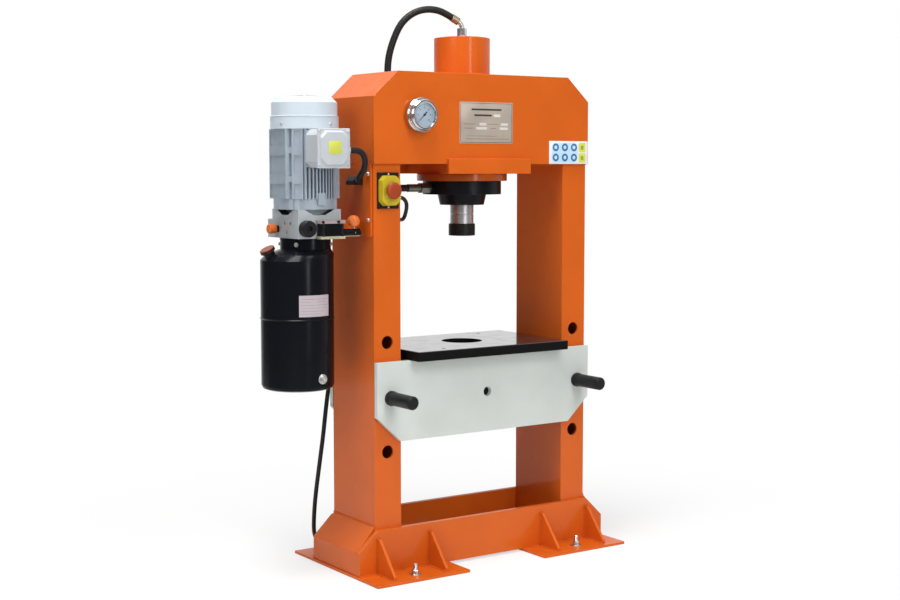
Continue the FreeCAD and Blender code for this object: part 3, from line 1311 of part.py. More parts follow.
def make_bracket():
    """Bracket that hangs the power pack on the column: screwed plate and hollow arm."""
    half = BRACKET_WIDTH / 2
    plate = box(PLATE_X, -COLUMN_OUT, -half, half, BRACKET_BOTTOM, BRACKET_TOP)
    arm_low = BRACKET_ARM_Y - BRACKET_ARM_WIDTH / 2
    arm_high = BRACKET_ARM_Y + BRACKET_ARM_WIDTH / 2
    arm_top = BRACKET_BOTTOM + BRACKET_ARM_HEIGHT
    arm = box(BLOCK_RIGHT, PLATE_X, arm_low, arm_high, BRACKET_BOTTOM, arm_top)
    hollow = box(
        BLOCK_RIGHT + BRACKET_ARM_WALL, PLATE_X,
        arm_low + BRACKET_ARM_WALL, arm_high - BRACKET_ARM_WALL,
        BRACKET_BOTTOM, arm_top - BRACKET_ARM_WALL,
    )
    nodes["pack_bracket"] = fused([plate, arm.cut(hollow)])


def filler_axis():
    """Direction of the slanted filler tube."""
    tilt = math.radians(FILLER_TILT)
    return V(-math.sin(tilt), 0, math.cos(tilt))


def filler_mouth():
    """Centre of the filler tube's open end."""
    return V(TANK_X + FILLER_X, FILLER_Y, FILLER_Z)


def make_tank():
    """Moulded tank: round body with a seam, shoulder running into an offset neck, slanted filler."""
    body = [
        (0, TANK_BOTTOM),
        (TANK_RADIUS - TANK_FOOT_RADIUS, TANK_BOTTOM),
        (TANK_RADIUS - TANK_FOOT_RADIUS * 0.3, TANK_BOTTOM + TANK_FOOT_RADIUS * 0.3),
        (TANK_RADIUS, TANK_BOTTOM + TANK_FOOT_RADIUS),
        (TANK_RADIUS, TANK_SEAM_Z - TANK_SEAM),
        (TANK_RADIUS + TANK_SEAM, TANK_SEAM_Z),
        (TANK_RADIUS, TANK_SEAM_Z + TANK_SEAM),
        (TANK_RADIUS, TANK_SHOULDER),
        (0, TANK_SHOULDER),
    ]
    drum = turned(body, V(TANK_X, 0, 0), Z_AXIS)
    ring_low = Part.Wire(Part.Circle(V(TANK_X, 0, TANK_SHOULDER), Z_AXIS, TANK_RADIUS).toShape())
    middle = V((TANK_X * 2 + PACK_X) / 3, 0, TANK_SHOULDER + (TANK_WALL_TOP - TANK_SHOULDER) * 0.55)
    ring_mid = Part.Wire(Part.Circle(middle, Z_AXIS, TANK_RADIUS * 0.93).toShape())
    ring_top = Part.Wire(Part.Circle(V(PACK_X, 0, TANK_WALL_TOP), Z_AXIS, NECK_RADIUS).toShape())
    shoulder = Part.makeLoft([ring_low, ring_mid, ring_top], True, True)
    neck = rod(NECK_RADIUS, BLOCK_BOTTOM - TANK_WALL_TOP, V(PACK_X, 0, TANK_WALL_TOP), Z_AXIS)
    collar_base = V(PACK_X, 0, BLOCK_BOTTOM - NECK_COLLAR_HEIGHT)
    collar = rod(NECK_COLLAR_RADIUS - SOFT_GAP, NECK_COLLAR_HEIGHT, collar_base, Z_AXIS)
    axis = filler_axis()
    mouth = filler_mouth()
    filler = rod(FILLER_TUBE / 2, FILLER_TUBE_LENGTH, mouth, axis * -1)
    well = rod(FILLER_PLUG / 2 + SOFT_GAP, FILLER_PLUG_LENGTH + 2.0, mouth, axis * -1)
    nodes["oil_tank"] = fused([drum, shoulder, neck, collar, filler]).cut(well)


def make_filler_cap():
    """Push-in breather cap with a ribbed rim."""
    axis = filler_axis()
    mouth = filler_mouth()
    cap = rod(FILLER_CAP / 2, FILLER_CAP_HEIGHT, mouth, axis)
    cap = cap.makeChamfer(2.0, [cap.Edges[0]])
    for k in range(FILLER_RIBS):
        angle = 2 * math.pi * k / FILLER_RIBS
        side = axis.cross(Y_AXIS) * math.cos(angle) + Y_AXIS * math.sin(angle)
        start = mouth + side * (FILLER_CAP / 2 + 0.6)
        cap = cap.cut(rod(FILLER_RIB_RADIUS, FILLER_CAP_HEIGHT - 4.0, start, axis))
    plug = rod(FILLER_PLUG / 2, FILLER_PLUG_LENGTH, mouth, axis * -1)
    nodes["filler_cap"] = fused([cap, plug])


def make_mains_gland():
    """Elbow gland on the back of the left column, its nose pointing down."""
    start = V(CORD_GLAND_X, FACE_Y, CORD_GLAND_Z)
    barrel = rod(CORD_GLAND_BODY / 2, CORD_GLAND_REACH + 8.0, start, Y_AXIS)
    nose = [
        (0, 0),
        (CORD_GLAND_BODY / 2 - 1.0, 0),
        (CORD_GLAND_BODY / 2 - 1.0, -CORD_GLAND_DROP * 0.6),
        (CORD_GLAND_NOSE / 2, -CORD_GLAND_DROP),
        (0, -CORD_GLAND_DROP),
    ]
    head = turned(nose, V(CORD_GLAND_X, FACE_Y + CORD_GLAND_REACH, CORD_GLAND_Z), Z_AXIS)
    nodes["mains_gland"] = fused([barrel, head])


def coil_point(turn):
    """Centreline of the coil: spirals in and out again and climbs one layer as it reverses."""
    inward = min(turn, COIL_TURNS - turn)
    radius = COIL_RADIUS - COIL_STEP * inward
    angle = math.pi / 2 - 2 * math.pi * turn
    climb = (turn - (COIL_TURNS - COIL_CLIMB) / 2) / COIL_CLIMB
    climb = min(max(climb, 0.0), 1.0)
    height = CORD_RADIUS + COIL_STEP * climb
    return V(COIL_X + radius * math.cos(angle), COIL_Y + radius * math.sin(angle), height)


def coil_heading(turn):
    """Direction of the coil's centreline, level where a layer lies flat."""
    step = 0.001
    heading = coil_point(turn + step) - coil_point(turn - step)
    return heading.normalize()


def biarc(start, start_heading, end, end_heading):
    """Two tangent arcs from one point and heading to another."""
    gap = end - start
    both = start_heading + end_heading
    spread = 2 * (1 - start_heading.dot(end_heading))
    reach = (math.sqrt(gap.dot(both) ** 2 + spread * gap.dot(gap)) - gap.dot(both)) / spread
    first = start + start_heading * reach
    second = end - end_heading * reach
    joint = (first + second) * 0.5
    arcs = []
    for low, corner, high in ((start, first, joint), (joint, second, end)):
        weight = (high - low).Length / 2 / reach
        crest = (low + corner * (2 * weight) + high) * (1 / (2 * (1 + weight)))
        arcs.append(Part.Arc(low, crest, high).toShape())
    return arcs


def least_gap(points):
    """Least clear gap between stretches of the coil that are over half a turn apart."""
    apart = len(points) // (2 * COIL_TURNS)
    least = min(
        (p - q).Length
        for k, p in enumerate(points)
        for q in points[k + apart:]
    )
    return least - CORD_DIAMETER


def make_mains_cord():
    """Mains cord: hanging stretch from the gland, neat two-layer coil, tail and plug."""
    first = coil_point(0)
    route = list(CORD_POINTS) + [tuple(first)]
    nodes["mains_cord"] = tube(route, CORD_DIAMETER, "mains_cord")
    stops = [0.0] + [k / 2 + 0.25 for k in range(2 * COIL_TURNS)] + [COIL_TURNS]
    headings = [coil_heading(t) for t in stops]
    headings[0] = X_AXIS
    headings[-1] = X_AXIS
    arcs = []
    for k in range(len(stops) - 1):
        arcs += biarc(coil_point(stops[k]), headings[k], coil_point(stops[k + 1]), headings[k + 1])
    top = coil_point(COIL_TURNS)
    wire = Part.Wire(arcs)
    coil = swept(wire, CORD_RADIUS, X_AXIS)
    tail = rod(CORD_RADIUS, TAIL_LENGTH, top, X_AXIS)
    nodes["mains_coil"] = coil.fuse(tail).removeSplitter()
    samples = [p for arc in arcs for p in arc.discretize(12)]
    print("coil length", round(wire.Length), "mm, least gap", round(least_gap(samples), 2), "mm")
    plug_start = top + X_AXIS * TAIL_LENGTH
    plug = [
        (0, 0),
        (PLUG_NECK / 2, 0),
        (PLUG_NECK / 2 + 3.0, PLUG_NECK_LENGTH),
        (PLUG_DIAMETER / 2, PLUG_NECK_LENGTH + 6.0),
        (PLUG_DIAMETER / 2, PLUG_NECK_LENGTH + PLUG_LENGTH),
        (0, PLUG_NECK_LENGTH + PLUG_LENGTH),
    ]
    plug_face = plug_start + X_AXIS * (PLUG_NECK_LENGTH + PLUG_LENGTH)
    parts = [turned(plug, plug_start, X_AXIS)]
    for k in range(PLUG_PIN_COUNT):
        angle = 2 * math.pi * (k + 0.5) / PLUG_PIN_COUNT
        side = V(0, math.cos(angle), math.sin(angle)) * (PLUG_PIN_PITCH / 2)
        parts.append(rod(PLUG_PIN / 2, PLUG_PIN_LENGTH, plug_face + side, X_AXIS))
    nodes["mains_plug"] = fused(parts)


make_columns()
make_crown()
make_crosshead()
make_base()
make_feet()
make_beam()
make_table()
make_pins()
make_cylinder()
make_ram()
make_top_fitting()
make_top_hose()
make_lower_hose()
make_entries()
make_gauge()
make_stop()
make_motor()
make_fan_cowl()
make_fan()
make_terminal_box()
make_motor_lead()
make_flange()
make_valve_block()
make_relief_knob()
make_lever_valve()
make_lever()
make_bracket()
make_tank()
make_filler_cap()
make_mains_gland()
make_mains_cord()

os.makedirs("parts", exist_ok=True)
for name, shape in nodes.items():
    shape.exportStep("parts/" + name + ".step")
    print(name, len(shape.Solids), "solid(s)", round(shape.Volume / 1000, 1), "cm3", shape.isValid())
print(len(nodes), "nodes")
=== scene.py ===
"""Motor-driven workshop press: finishes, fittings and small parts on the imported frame. Metres."""
import math

import bmesh
import bpy
from mathutils import Matrix, Vector


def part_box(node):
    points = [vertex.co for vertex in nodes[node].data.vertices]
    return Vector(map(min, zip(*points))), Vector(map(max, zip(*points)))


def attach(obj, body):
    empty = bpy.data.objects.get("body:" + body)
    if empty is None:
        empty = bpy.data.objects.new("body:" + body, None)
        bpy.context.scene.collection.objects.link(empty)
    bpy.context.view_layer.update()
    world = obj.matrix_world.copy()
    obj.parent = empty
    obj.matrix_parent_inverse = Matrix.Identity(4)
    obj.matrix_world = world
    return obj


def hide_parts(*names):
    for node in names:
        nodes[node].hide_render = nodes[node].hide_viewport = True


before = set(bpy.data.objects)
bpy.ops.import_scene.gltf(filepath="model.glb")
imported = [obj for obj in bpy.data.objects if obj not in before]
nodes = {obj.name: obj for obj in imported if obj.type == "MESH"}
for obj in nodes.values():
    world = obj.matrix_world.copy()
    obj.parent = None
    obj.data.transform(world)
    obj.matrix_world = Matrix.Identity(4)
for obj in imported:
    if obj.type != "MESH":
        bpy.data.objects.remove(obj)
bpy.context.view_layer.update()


# ---------------- finishes


def set_inputs(node, **settings):
    """Sets a shader node's inputs; an underscore stands for a space in an input's name."""
    for name, value in settings.items():
        node.inputs[name.replace("_", " ")].default_value = value


def added(tree, kind, **settings):
    """New shader node with some of its inputs set."""
    node = tree.nodes.new(kind)
    set_inputs(node, **settings)
    return node


def new_finish(name):
    """Empty material with its shader and the object's own coordinates."""
    finish = bpy.data.materials.new(name)
    finish.use_nodes = True
    tree = finish.node_tree
    shader = tree.nodes["Principled BSDF"]
    return finish, tree, shader, added(tree, "ShaderNodeTexCoord").outputs["Object"]


def noise(tree, place, scale, detail=3.0, roughness=0.5):
    """Noise pattern over the piece."""
    made = added(tree, "ShaderNodeTexNoise", Scale=scale, Detail=detail, Roughness=roughness)
    tree.links.new(place, made.inputs["Vector"])
    return made.outputs["Fac"]


def spread(tree, value, low, high):
    """The middle of a pattern's range, where most of it lies, brought into low to high."""
    made = added(tree, "ShaderNodeMapRange", From_Min=0.3, From_Max=0.7, To_Min=low, To_Max=high)
    tree.links.new(value, made.inputs["Value"])
    return made.outputs["Result"]


def two_tone(tree, value, first, second):
    """Colour that runs from first to second with value."""
    made = tree.nodes.new("ShaderNodeMix")
    made.data_type = "RGBA"
    set_inputs(made, A=(*first, 1), B=(*second, 1))
    tree.links.new(value, made.inputs["Factor"])
    return made.outputs["Result"]


def raised(tree, shader, value, depth):
    """Fine relief on the surface, with its depth in metres."""
    made = added(tree, "ShaderNodeBump", Distance=depth)
    tree.links.new(value, made.inputs["Height"])
    tree.links.new(made.outputs["Normal"], shader.inputs["Normal"])


def toned(colour, by):
    """Colour made darker, or lighter where by is over 1."""
    return tuple(c * by for c in colour)


def drift_colour(tree, shader, value, colour, low, high):
    """Lets the colour drift with value, from low to high times the plain one."""
    drift = two_tone(
        tree, spread(tree, value, 0.0, 1.0), toned(colour, low), toned(colour, high)
    )
    tree.links.new(drift, shader.inputs["Base Color"])


def drift_gloss(tree, shader, value, low, high):
    """Lets the roughness drift with value, from low to high."""
    tree.links.new(spread(tree, value, low, high), shader.inputs["Roughness"])


def sprayed_paint(name, colour, roughness, peel=0.00006, coat=0.0, shine=0.25):
    """Sprayed enamel: faint orange peel, uneven gloss and a slight drift in colour."""
    finish, tree, shader, place = new_finish(name)
    drift_colour(tree, shader, noise(tree, place, scale=5.0, detail=4.0), colour, 0.93, 1.04)
    cloud = noise(tree, place, scale=22.0, detail=4.0)
    drift_gloss(tree, shader, cloud, roughness - 0.05, roughness + 0.07)
    set_inputs(shader, Specular_IOR_Level=shine, Coat_Weight=coat, Coat_Roughness=0.08)
    raised(tree, shader, noise(tree, place, scale=420.0, detail=2.0), peel)
    return finish


def moulded_plastic(name, colour, roughness, grain=0.00004, scale=900.0, shine=0.25):
    """Moulded plastic with a fine even grain."""
    finish, tree, shader, place = new_finish(name)
    drift_colour(tree, shader, noise(tree, place, scale=9.0), colour, 0.94, 1.05)
    cloud = noise(tree, place, scale=40.0)
    drift_gloss(tree, shader, cloud, roughness - 0.04, roughness + 0.05)
    set_inputs(shader, Specular_IOR_Level=shine)
    raised(tree, shader, noise(tree, place, scale, detail=2.0), grain)
    return finish


def bare_metal(name, colour, roughness, stretch, scale, scratch=0.00002):
    """Metal with fine tool marks, closer together along the axes where stretch is large."""
    finish, tree, shader, place = new_finish(name)
    turn = added(tree, "ShaderNodeMapping", Scale=stretch)
    tree.links.new(place, turn.inputs["Vector"])
    marks = noise(tree, turn.outputs["Vector"], scale, detail=6.0, roughness=0.6)
    drift_colour(tree, shader, marks, colour, 0.86, 1.06)
    drift_gloss(tree, shader, marks, roughness - 0.05, roughness + 0.1)
    set_inputs(shader, Metallic=1.0)
    raised(tree, shader, marks, scratch)
    return finish


def cast_metal(name, colour, roughness, metallic, grit=0.00018):
    """Die-cast metal with a slightly pebbled skin."""
    finish, tree, shader, place = new_finish(name)
    cloud = noise(tree, place, scale=14.0, detail=5.0)
    drift_colour(tree, shader, cloud, colour, 0.86, 1.06)
    drift_gloss(tree, shader, cloud, roughness - 0.06, roughness + 0.1)
    set_inputs(shader, Metallic=metallic, Specular_IOR_Level=0.3)
    raised(tree, shader, noise(tree, place, scale=300.0, detail=4.0, roughness=0.65), grit)
    return finish


def woven_rubber(name, colour, roughness, wrap):
    """Rubber jacket of a hose or cord, with the faint wrap marks of its making."""
    finish, tree, shader, place = new_finish(name)
    marks = noise(tree, place, wrap)
    drift_colour(tree, shader, marks, colour, 0.8, 1.3)
    drift_gloss(tree, shader, marks, roughness - 0.06, roughness + 0.08)
    set_inputs(shader, Specular_IOR_Level=0.25)
    raised(tree, shader, marks, 0.0002)
    return finish


ORANGE = (0.62, 0.112, 0.009)
press_orange = sprayed_paint("press_orange", ORANGE, 0.42, coat=0.28, shine=0.12)
weld_orange = sprayed_paint("weld_orange", toned(ORANGE, 0.94), 0.42, 0.0003, shine=0.15)
# Orange at about half strength: painted shade on the barrel below the crosshead seat, where the
# seat shadows it.
barrel_painted_shade = sprayed_paint("barrel_painted_shade", toned(ORANGE, 0.52), 0.34, coat=0.3, shine=0.15)
beam_grey = sprayed_paint("beam_grey", (0.58, 0.62, 0.59), 0.42, shine=0.15)
# Near-black: painted shade on the faces of the beam's plates that look into the beam, between the
# plates.
beam_painted_shade = sprayed_paint("beam_painted_shade", (0.035, 0.04, 0.036), 0.5, shine=0.1)
table_black = sprayed_paint("table_black", (0.006, 0.006, 0.006), 0.5, 0.00001, shine=0.06)
table_face = sprayed_paint("table_face", (0.016, 0.016, 0.022), 0.14, 0.0000004, 0.5, 0.5)
gland_black = sprayed_paint("gland_black", (0.005, 0.005, 0.007), 0.34, 0.00006, shine=0.15)
motor_silver = cast_metal("motor_silver", (0.37, 0.43, 0.49), 0.42, 0.2)
cowl_silver = sprayed_paint("cowl_silver", (0.57, 0.64, 0.70), 0.4, shine=0.3)
box_silver = moulded_plastic("box_silver", (0.50, 0.53, 0.56), 0.4)
block_metal = cast_metal("block_metal", (0.50, 0.54, 0.56), 0.4, 0.35)
# Near-black metal: painted shade in the adapter flange's pockets under the motor's end shield.
flange_painted_shade = cast_metal("flange_painted_shade", (0.06, 0.065, 0.075), 0.45, 0.2)
fitting_steel = bare_metal("fitting_steel", (0.20, 0.20, 0.17), 0.34, (3, 1, 1), 90.0)
valve_rose = cast_metal("valve_rose", (0.50, 0.40, 0.40), 0.4, 0.3)
valve_cream = cast_metal("valve_cream", (0.52, 0.49, 0.34), 0.4, 0.2)
zinc_steel = bare_metal("zinc_steel", (0.62, 0.62, 0.60), 0.3, (1, 1, 3), 90.0)
black_steel = cast_metal("black_steel", (0.012, 0.012, 0.013), 0.4, 0.3, 0.0001)
ram_chrome = bare_metal("ram_chrome", (0.60, 0.59, 0.59), 0.38, (1, 1, 12), 24.0, 0.0000005)
bezel_chrome = bare_metal("bezel_chrome", (0.66, 0.67, 0.69), 0.16, (1, 1, 1), 200.0, 0.000004)
ferrule_brass = bare_metal("ferrule_brass", (0.36, 0.30, 0.21), 0.34, (3, 3, 1), 80.0)
hose_rubber = woven_rubber("hose_rubber", (0.010, 0.010, 0.010), 0.44, 260.0)
cord_rubber = woven_rubber("cord_rubber", (0.014, 0.014, 0.015), 0.46, 400.0)
black_plastic = moulded_plastic("black_plastic", (0.010, 0.010, 0.011), 0.4)
tank_plastic = moulded_plastic("tank_plastic", (0.006, 0.0065, 0.009), 0.2, 0.00002, 120.0, 0.1)
stop_yellow = moulded_plastic("stop_yellow", (0.54, 0.42, 0.022), 0.36)
stop_red = moulded_plastic("stop_red", (0.33, 0.048, 0.012), 0.34)
knob_orange = moulded_plastic("knob_orange", (0.70, 0.16, 0.03), 0.3, shine=0.4)
cap_red = moulded_plastic("cap_red", (0.24, 0.065, 0.035), 0.4, shine=0.15)
# Dark brown: painted shade on the filler cap's sides, which are lit less than its red top.
cap_painted_shade = moulded_plastic("cap_painted_shade", (0.030, 0.012, 0.010), 0.4, shine=0.15)
plate_alloy = cast_metal("plate_alloy", (0.50, 0.43, 0.36), 0.4, 0.25, 0.00001)
plate_ink = moulded_plastic("plate_ink", (0.045, 0.038, 0.036), 0.5)
plate_faint_ink = moulded_plastic("plate_faint_ink", (0.24, 0.20, 0.17), 0.5)
plate_field = moulded_plastic("plate_field", (0.62, 0.59, 0.55), 0.45)
label_white = moulded_plastic("label_white", (0.80, 0.79, 0.82), 0.4)
label_sky = moulded_plastic("label_sky", (0.50, 0.70, 0.88), 0.42)
label_blue = moulded_plastic("label_blue", (0.035, 0.14, 0.34), 0.42)
label_lemon = moulded_plastic("label_lemon", (0.62, 0.66, 0.10), 0.42)
label_olive = moulded_plastic("label_olive", (0.30, 0.36, 0.03), 0.42)
label_blush = moulded_plastic("label_blush", (0.46, 0.40, 0.42), 0.45)
label_grey = moulded_plastic("label_grey", (0.27, 0.24, 0.26), 0.5)
dial_enamel = moulded_plastic("dial_enamel", (0.42, 0.50, 0.58), 0.35)


def clear_glass():
    """Gauge window."""
    finish, _, shader, _ = new_finish("clear_glass")
    set_inputs(
        shader, Base_Color=(0.96, 0.98, 1.0, 1), Roughness=0.03, IOR=1.35, Transmission_Weight=1.0
    )
    return finish


def wear_finish(piece, finish):
    """Puts one finish on a whole piece."""
    piece.data.materials.clear()
    piece.data.materials.append(finish)


NODE_FINISHES = {
    press_orange: (
        "column_left", "column_right", "crown_front_plate", "crown_back_plate", "crown_top_plate",
        "crown_bottom_plate", "crown_cover_left", "crown_cover_right", "crosshead_seat",
        "base_front_plate", "base_back_plate", "base_cover_left", "base_cover_right", "foot_left",
        "foot_right", "pack_bracket", "cylinder_barrel", "cylinder_head_cap",
    ),
    beam_grey: ("beam_front_plate", "beam_back_plate", "beam_webs"),
    table_black: ("press_table",),
    gland_black: ("cylinder_gland",),
    black_steel: ("pin_left", "pin_right", "ram_nose", "block_plug"),
    zinc_steel: ("top_elbow", "valve_lever", "lever_valve"),
    fitting_steel: ("lower_fitting",),
    ram_chrome: ("ram",),
    ferrule_brass: ("top_ferrule",),
    hose_rubber: ("hose_top", "hose_lower", "motor_lead", "stop_lead", "cable_entries"),
    cord_rubber: ("mains_cord", "mains_coil"),
    bezel_chrome: ("gauge_case",),
    black_plastic: (
        "gauge_pointer", "stop_plate", "stop_stem", "motor_fan", "mains_gland", "mains_plug",
    ),
    stop_yellow: ("stop_body",),
    stop_red: ("stop_head",),
    motor_silver: ("motor_housing",),
    cowl_silver: ("fan_cowl",),
    box_silver: ("terminal_box", "terminal_lid"),
    block_metal: ("adapter_flange", "valve_block"),
    knob_orange: ("relief_knob", "lever_ball"),
    tank_plastic: ("oil_tank",),
    cap_red: ("filler_cap",),
    clear_glass(): ("gauge_glass",),
}

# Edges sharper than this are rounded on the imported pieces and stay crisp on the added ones.
SHARP_DEGREES = 32
PLAIN_EDGE = 0.0006

# Roundings that differ from the plain one. The beam's webs are out of sight and have none.
EDGE_WIDTHS = {
    "press_table": 0.0005, "crown_front_plate": 0.0015, "crown_back_plate": 0.0015,
    "column_left": 0.003, "column_right": 0.003, "base_front_plate": 0.0015,
    "base_back_plate": 0.0015, "beam_front_plate": 0.0015, "beam_back_plate": 0.0015,
    "beam_webs": 0.0, "cylinder_barrel": 0.002, "foot_left": 0.001, "foot_right": 0.001,
    "crosshead_seat": 0.0015, "crown_cover_left": 0.001, "crown_cover_right": 0.001,
    "base_cover_left": 0.0015, "base_cover_right": 0.0015, "terminal_box": 0.003,
    "terminal_lid": 0.002,
}


def modified(piece, name, kind, **settings):
    """Adds a modifier to a piece."""
    step = piece.modifiers.new(name, kind)
    for setting, value in settings.items():
        setattr(step, setting, value)


def soften(piece, width):
    """Joins a node's triangles, rounds its sharp edges and smooths its curved faces."""
    modified(piece, "join", "WELD", merge_threshold=0.00002)
    modified(
        piece, "flat", "DECIMATE", decimate_type="DISSOLVE", delimit={"MATERIAL"},
        angle_limit=math.radians(0.5),
    )
    if width:
        modified(
            piece, "edge", "BEVEL", width=width, segments=2, limit_method="ANGLE",
            angle_limit=math.radians(SHARP_DEGREES), harden_normals=True, use_clamp_overlap=True,
        )
    modified(piece, "level", "WEIGHTED_NORMAL", weight=100, keep_sharp=True)
    for polygon in piece.data.polygons:
        polygon.use_smooth = True


for finish, names in NODE_FINISHES.items():
    for name in names:
        wear_finish(nodes[name], finish)
        soften(nodes[name], EDGE_WIDTHS.get(name, PLAIN_EDGE))


def second_finish(name, finish, wanted):
    """Puts another finish on the faces of a node that wanted(middle, normal) picks."""
    mesh = nodes[name].data
    mesh.materials.append(finish)
    for face in mesh.polygons:
        if wanted(face.center, face.normal):
            face.material_index = len(mesh.materials) - 1


FILLER_TILT = math.radians(28)
FILLER_AXIS = Vector((-math.sin(FILLER_TILT), 0, math.cos(FILLER_TILT)))
KNOB_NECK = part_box("valve_block")[0][0] - 0.009
SEAT_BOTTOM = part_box("crosshead_seat")[0][2]
LEVER_BAND_LOW, LEVER_BAND_HIGH = 1.0525, 1.0885    # the lever valve's black middle
LEVER_CAP = -0.508                                  # and its black end cap, to the right of this

# Painted shade: the adapter flange's upward-facing faces take the near-black metal.
second_finish("adapter_flange", flange_painted_shade, lambda middle, normal: 0.15 < normal.z < 0.98)
# Painted shade: the barrel's faces below the seat take the darkened orange.
second_finish("cylinder_barrel", barrel_painted_shade, lambda middle, normal: middle.z < SEAT_BOTTOM)
second_finish("press_table", table_face, lambda middle, normal: normal.z > 0.5)
# Painted shade: the inward faces of the beam's plates take the near-black.
second_finish("beam_front_plate", beam_painted_shade, lambda middle, normal: normal.y > 0.5)
second_finish("beam_back_plate", beam_painted_shade, lambda middle, normal: normal.y < -0.5)
# Painted shade: the filler cap's faces that don't look along its axis take the dark brown.
second_finish("filler_cap", cap_painted_shade, lambda middle, normal: normal.dot(FILLER_AXIS) < 0.7)
second_finish("relief_knob", black_plastic, lambda middle, normal: middle.x > KNOB_NECK)
second_finish("lever_valve", valve_rose, lambda middle, normal: middle.z > LEVER_BAND_HIGH)
second_finish(
    "lever_valve", gland_black,
    lambda middle, normal: middle.x > LEVER_CAP or LEVER_BAND_LOW < middle.z < LEVER_BAND_HIGH,
)
second_finish("lever_valve", valve_cream, lambda middle, normal: middle.z < LEVER_BAND_LOW)


# ---------------- cords


def brought_in(name, data):
    """New object in the scene."""
    made = bpy.data.objects.new(name, data)
    bpy.context.scene.collection.objects.link(made)
    return made


def cord_curve(name, points, diameter, finish):
    """Smooth cord through its route's points, as one open spline."""
    line = bpy.data.curves.new(name, "CURVE")
    line.dimensions = "3D"
    line.bevel_depth = diameter / 2
    line.bevel_resolution = 5
    line.use_fill_caps = True
    line.resolution_u = 8
    spline = line.splines.new("NURBS")
    spline.points.add(len(points) - 1)
    for knot, point in zip(spline.points, points):
        knot.co = (*point, 1)
    spline.order_u = 3
    spline.use_endpoint_u = True
    spline.resolution_u = 8
    line.materials.append(finish)
    return brought_in(name, line)


def mm(*values):
    """Place or sizes given in mm, in metres."""
    return tuple(value / 1000 for value in values)


def in_metres(points):
    return [mm(*point) for point in points]


MAINS_ROUTE = in_metres((
    (-382, 153, 766), (-383, 154, 722), (-388, 156, 672), (-397, 158, 620), (-408, 159, 568),
    (-417, 160, 513), (-424, 161, 455), (-429, 165, 396), (-433, 174, 336), (-435, 186, 277),
    (-435, 201, 220), (-433, 216, 166), (-427, 233, 115), (-417, 253, 72), (-399, 277, 38),
    (-369, 301, 16), (-327, 321, 9), (-277, 335, 7.5), (-222, 345, 7.3), (-165, 349, 7.0),
    (-108, 350, 7.2),
))
# The put-away coil, as in the solids: spirals in two layers, in metres.
COIL_CENTRE = (-0.055, 0.262)
COIL_RADIUS = 0.088
COIL_TURNS = 4
COIL_STEP = 0.016       # from turn to turn, and from layer to layer
COIL_CLIMB = 0.5        # turns taken to climb to the upper layer
COIL_LOWEST = 0.007     # height of the lower layer
POINTS_A_TURN = 16
TAIL = 0.066            # cord from the coil to the plug


def coil_point(turn):
    """Coil's centreline: a spiral in and out again that climbs one layer as it reverses."""
    radius = COIL_RADIUS - COIL_STEP * min(turn, COIL_TURNS - turn)
    angle = math.pi / 2 - 2 * math.pi * turn
    climb = (turn - (COIL_TURNS - COIL_CLIMB) / 2) / COIL_CLIMB
    height = COIL_LOWEST + COIL_STEP * min(max(climb, 0.0), 1.0)
    return (
        COIL_CENTRE[0] + radius * math.cos(angle), COIL_CENTRE[1] + radius * math.sin(angle), height
    )


def lay_mains_cord():
    """Mains cord down the back of the column, along the floor, into its coil and to its plug."""
    coil = [coil_point(k / POINTS_A_TURN) for k in range(COIL_TURNS * POINTS_A_TURN + 1)]
    top = coil[-1]
    tail = [(top[0] + TAIL * part, top[1], top[2]) for part in (0.3, 0.65, 1.0)]
    cord = cord_curve("mains_cord_jacket", MAINS_ROUTE + coil + tail, 0.014, cord_rubber)
    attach(cord, "frame")
    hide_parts("mains_cord", "mains_coil")


def lay_fixed_line(node, points, diameter, finish):
    """Hose or lead that goes from one fitting of the press back into another."""
    line = cord_curve(node + "_jacket", points, diameter, finish)
    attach(line, "frame")
    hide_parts(node)


HOSE_HEADING = math.radians(166.5)      # way that the top hose's upright plane runs


def hose_plane(along, height):
    """Point of the top hose's own upright plane."""
    return mm(along * math.cos(HOSE_HEADING), along * math.sin(HOSE_HEADING), height)


TOP_HOSE_ROUTE = (
    (35.105, 1735.596), (62.83, 1750.964), (94.0, 1758.8), (125.9, 1758.5), (156.6, 1749.9),
    (184.1, 1733.6), (206.5, 1710.9), (222.5, 1683.3), (241.1, 1637.1), (252.3, 1587.7),
    (252.3, 1556.0),
)
MOTOR_LEAD_ROUTE = in_metres((
    (-511, -146, 1308), (-489, -146, 1308), (-470, -146, 1305), (-456, -144, 1291),
    (-450, -140, 1271), (-450, -132, 1250), (-456, -118, 1232), (-451, -97, 1219),
    (-437, -74, 1217),
))
STOP_LEAD_ROUTE = in_metres((
    (-327, -138, 1166), (-320.4, -138, 1166), (-308.9, -138, 1159.4), (-302.2, -138, 1147.9),
    (-301, -136, 1133), (-300, -129, 1118), (-297, -117, 1105), (-293, -102, 1098),
    (-288, -87, 1096), (-286.5, -73, 1096), (-293, -61.6, 1096), (-304.4, -55, 1096),
    (-311, -55, 1096),
))


def lay_hoses():
    """Top hose, and the leads of the motor and the emergency stop."""
    top_hose = [hose_plane(*point) for point in TOP_HOSE_ROUTE]
    lay_fixed_line("hose_top", top_hose, 0.022, hose_rubber)
    lay_fixed_line("motor_lead", MOTOR_LEAD_ROUTE, 0.018, hose_rubber)
    lay_fixed_line("stop_lead", STOP_LEAD_ROUTE, 0.012, cord_rubber)


lay_mains_cord()
lay_hoses()


# ---------------- bench work


LEFT, RIGHT = Vector((-1, 0, 0)), Vector((1, 0, 0))
FRONT, BACK = Vector((0, -1, 0)), Vector((0, 1, 0))
UP = Vector((0, 0, 1))


def put_down():
    """Lets go of everything that is picked up."""
    bpy.ops.object.select_all(action="DESELECT")


